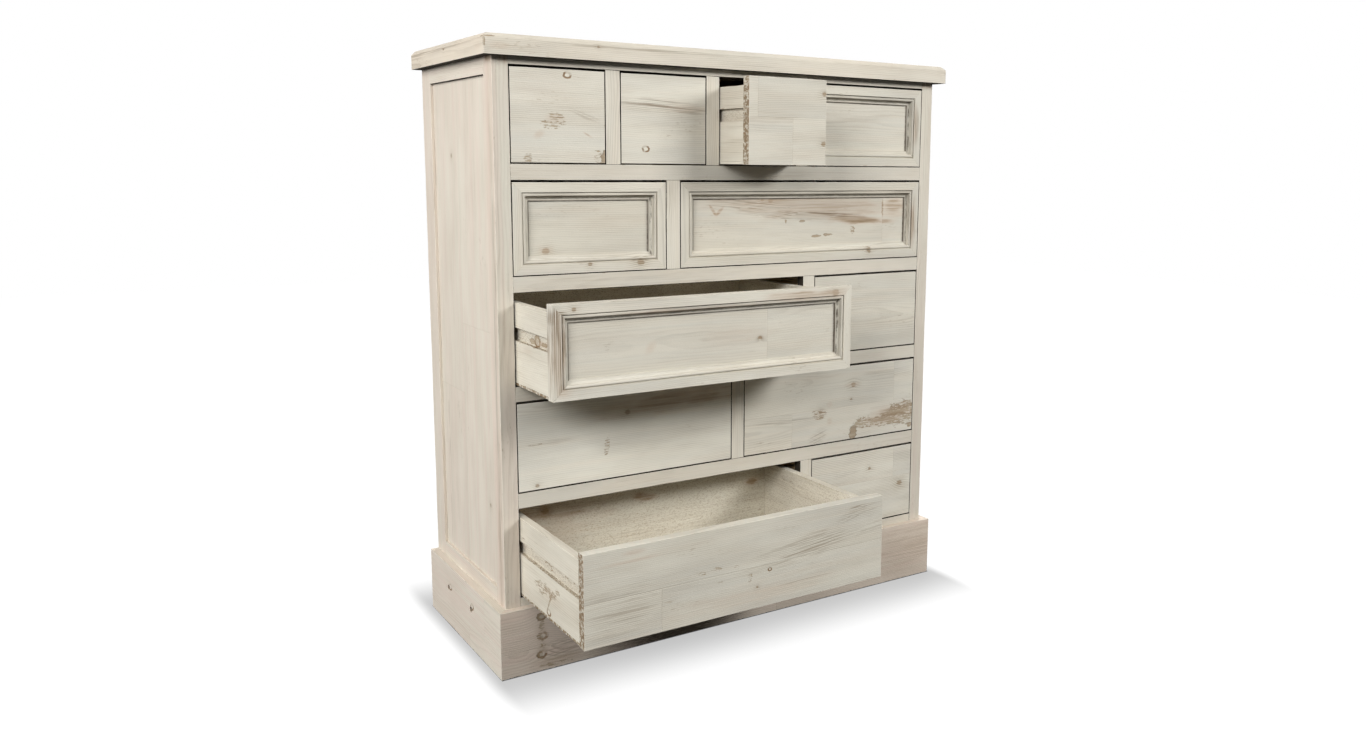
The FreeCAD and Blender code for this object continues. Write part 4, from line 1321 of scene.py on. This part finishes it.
def make_floor(size, tint, glow_in_painted_shadow):
    """A pale floor that looks white further away, over the faint real shadow it keeps, with a painted
    shadow that lowers its glow round the plinth.
    """
    bm = bmesh.new()
    bmesh.ops.create_grid(bm, x_segments=1, y_segments=1, size=size / 2)
    mesh = bpy.data.meshes.new("studio_floor")
    bm.to_mesh(mesh)
    bm.free()
    floor = bpy.data.objects.new("studio_floor", mesh)
    bpy.context.scene.collection.objects.link(floor)
    material, tree = bare_material("studio_floor")
    matt = wire(tree, "ShaderNodeBsdfDiffuse", {"Color": opaque(tint)})
    place = Signal(wire(tree, "ShaderNodeTexCoord").outputs["Object"])
    low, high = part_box("plinth_front")
    _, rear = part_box("plinth_left")
    middle = ((low.x + high.x) / 2, (low.y + rear.y) / 2, 0)
    reach = ((high.x - low.x) / 2, (rear.y - low.y) / 2, 0)
    outside_x, outside_y, _ = parts(most(abs(place - middle) - reach, (0, 0, 0)))
    away = far(outside_x * SIDE_SHADE, outside_y)
    # The glow is lowered near the plinth and drops almost to nothing at its foot: a painted shadow.
    glow_with_painted_shadow = (ramp(away, 0, SHADE_REACH, glow_in_painted_shadow, 1.0)
            + ramp(away, 0, PAINTED_FOOT_SHADOW, -glow_in_painted_shadow, 0.0))
    glow = wire(tree, "ShaderNodeEmission", {"Color": WHITE, "Strength": shows_white(tree) * glow_with_painted_shadow})
    both = wire(tree, "ShaderNodeAddShader", {0: matt.outputs["BSDF"], 1: glow.outputs["Emission"]})
    wire(tree, "ShaderNodeOutputMaterial", {"Surface": both.outputs["Shader"]})
    mesh.materials.append(material)


class CHEST_OT_studio(Operator):
    """Set the floor, the lamps, the background and the camera"""
    bl_idname = "chest.studio"
    bl_label = "Studio"

    def execute(self, context):
        studio = context.scene.chest_studio
        make_camera()
        make_world(studio.daylight)
        make_floor(studio.floor_size, context.scene.chest_colours.floor, studio.glow)
        for name, turn, rise, size, power in (
                ("left_lamp", -58, 26, (1.6, 1.6), studio.left_power),
                ("right_lamp", 42, 25, (2.0, 1.2), studio.right_power),
                ("front_lamp", -20, 28, (2.0, 0.6), studio.front_power),
                ("side_lamp", -98, 14, (1.6, 1.2), studio.side_power),
                ("rear_lamp", 138, 30, (2.4, 1.0), studio.rear_power),
                ("top_lamp", 180, 80, (2.6, 2.6), studio.top_power)):
            make_lamp(name, math.radians(turn), math.radians(rise), size, power)
        context.scene.view_settings.view_transform = "Standard"
        return {"FINISHED"}


# ---------------------------------------------------------------- add-on

OPERATORS = (
    CHEST_OT_top, CHEST_OT_posts, CHEST_OT_sides, CHEST_OT_rails, CHEST_OT_inner_boards,
    CHEST_OT_plywood, CHEST_OT_plinth, CHEST_OT_plain_fronts, CHEST_OT_framed_fronts,
    CHEST_OT_boxes, CHEST_OT_studio)
SETTINGS = {
    "chest_sizes": ChestSizes, "chest_colours": ChestColours, "chest_studio": ChestStudio}


class CHEST_PT_panel(Panel):
    """Lists the settings of the chest and the steps that dress it"""
    bl_idname = "CHEST_PT_panel"
    bl_label = "Chest of Drawers"
    bl_space_type = "VIEW_3D"
    bl_region_type = "UI"
    bl_category = "Chest"

    def draw(self, context):
        for name, settings in SETTINGS.items():
            box = self.layout.box()
            for field in settings.__annotations__:
                box.prop(getattr(context.scene, name), field)
        for operator in OPERATORS:
            self.layout.operator(operator.bl_idname)


def register():
    for settings in SETTINGS.values():
        bpy.utils.register_class(settings)
    for operator in OPERATORS:
        bpy.utils.register_class(operator)
    bpy.utils.register_class(CHEST_PT_panel)
    for name, settings in SETTINGS.items():
        setattr(bpy.types.Scene, name, PointerProperty(type=settings))


def unregister():
    for name in SETTINGS:
        delattr(bpy.types.Scene, name)
    for made in (CHEST_PT_panel, *OPERATORS, *SETTINGS.values()):
        bpy.utils.unregister_class(made)


def main():
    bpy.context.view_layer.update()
    register()
    for operator in OPERATORS:
        group, step = operator.bl_idname.split(".")
        getattr(getattr(bpy.ops, group), step)()


if __name__ == "__main__":
    main()
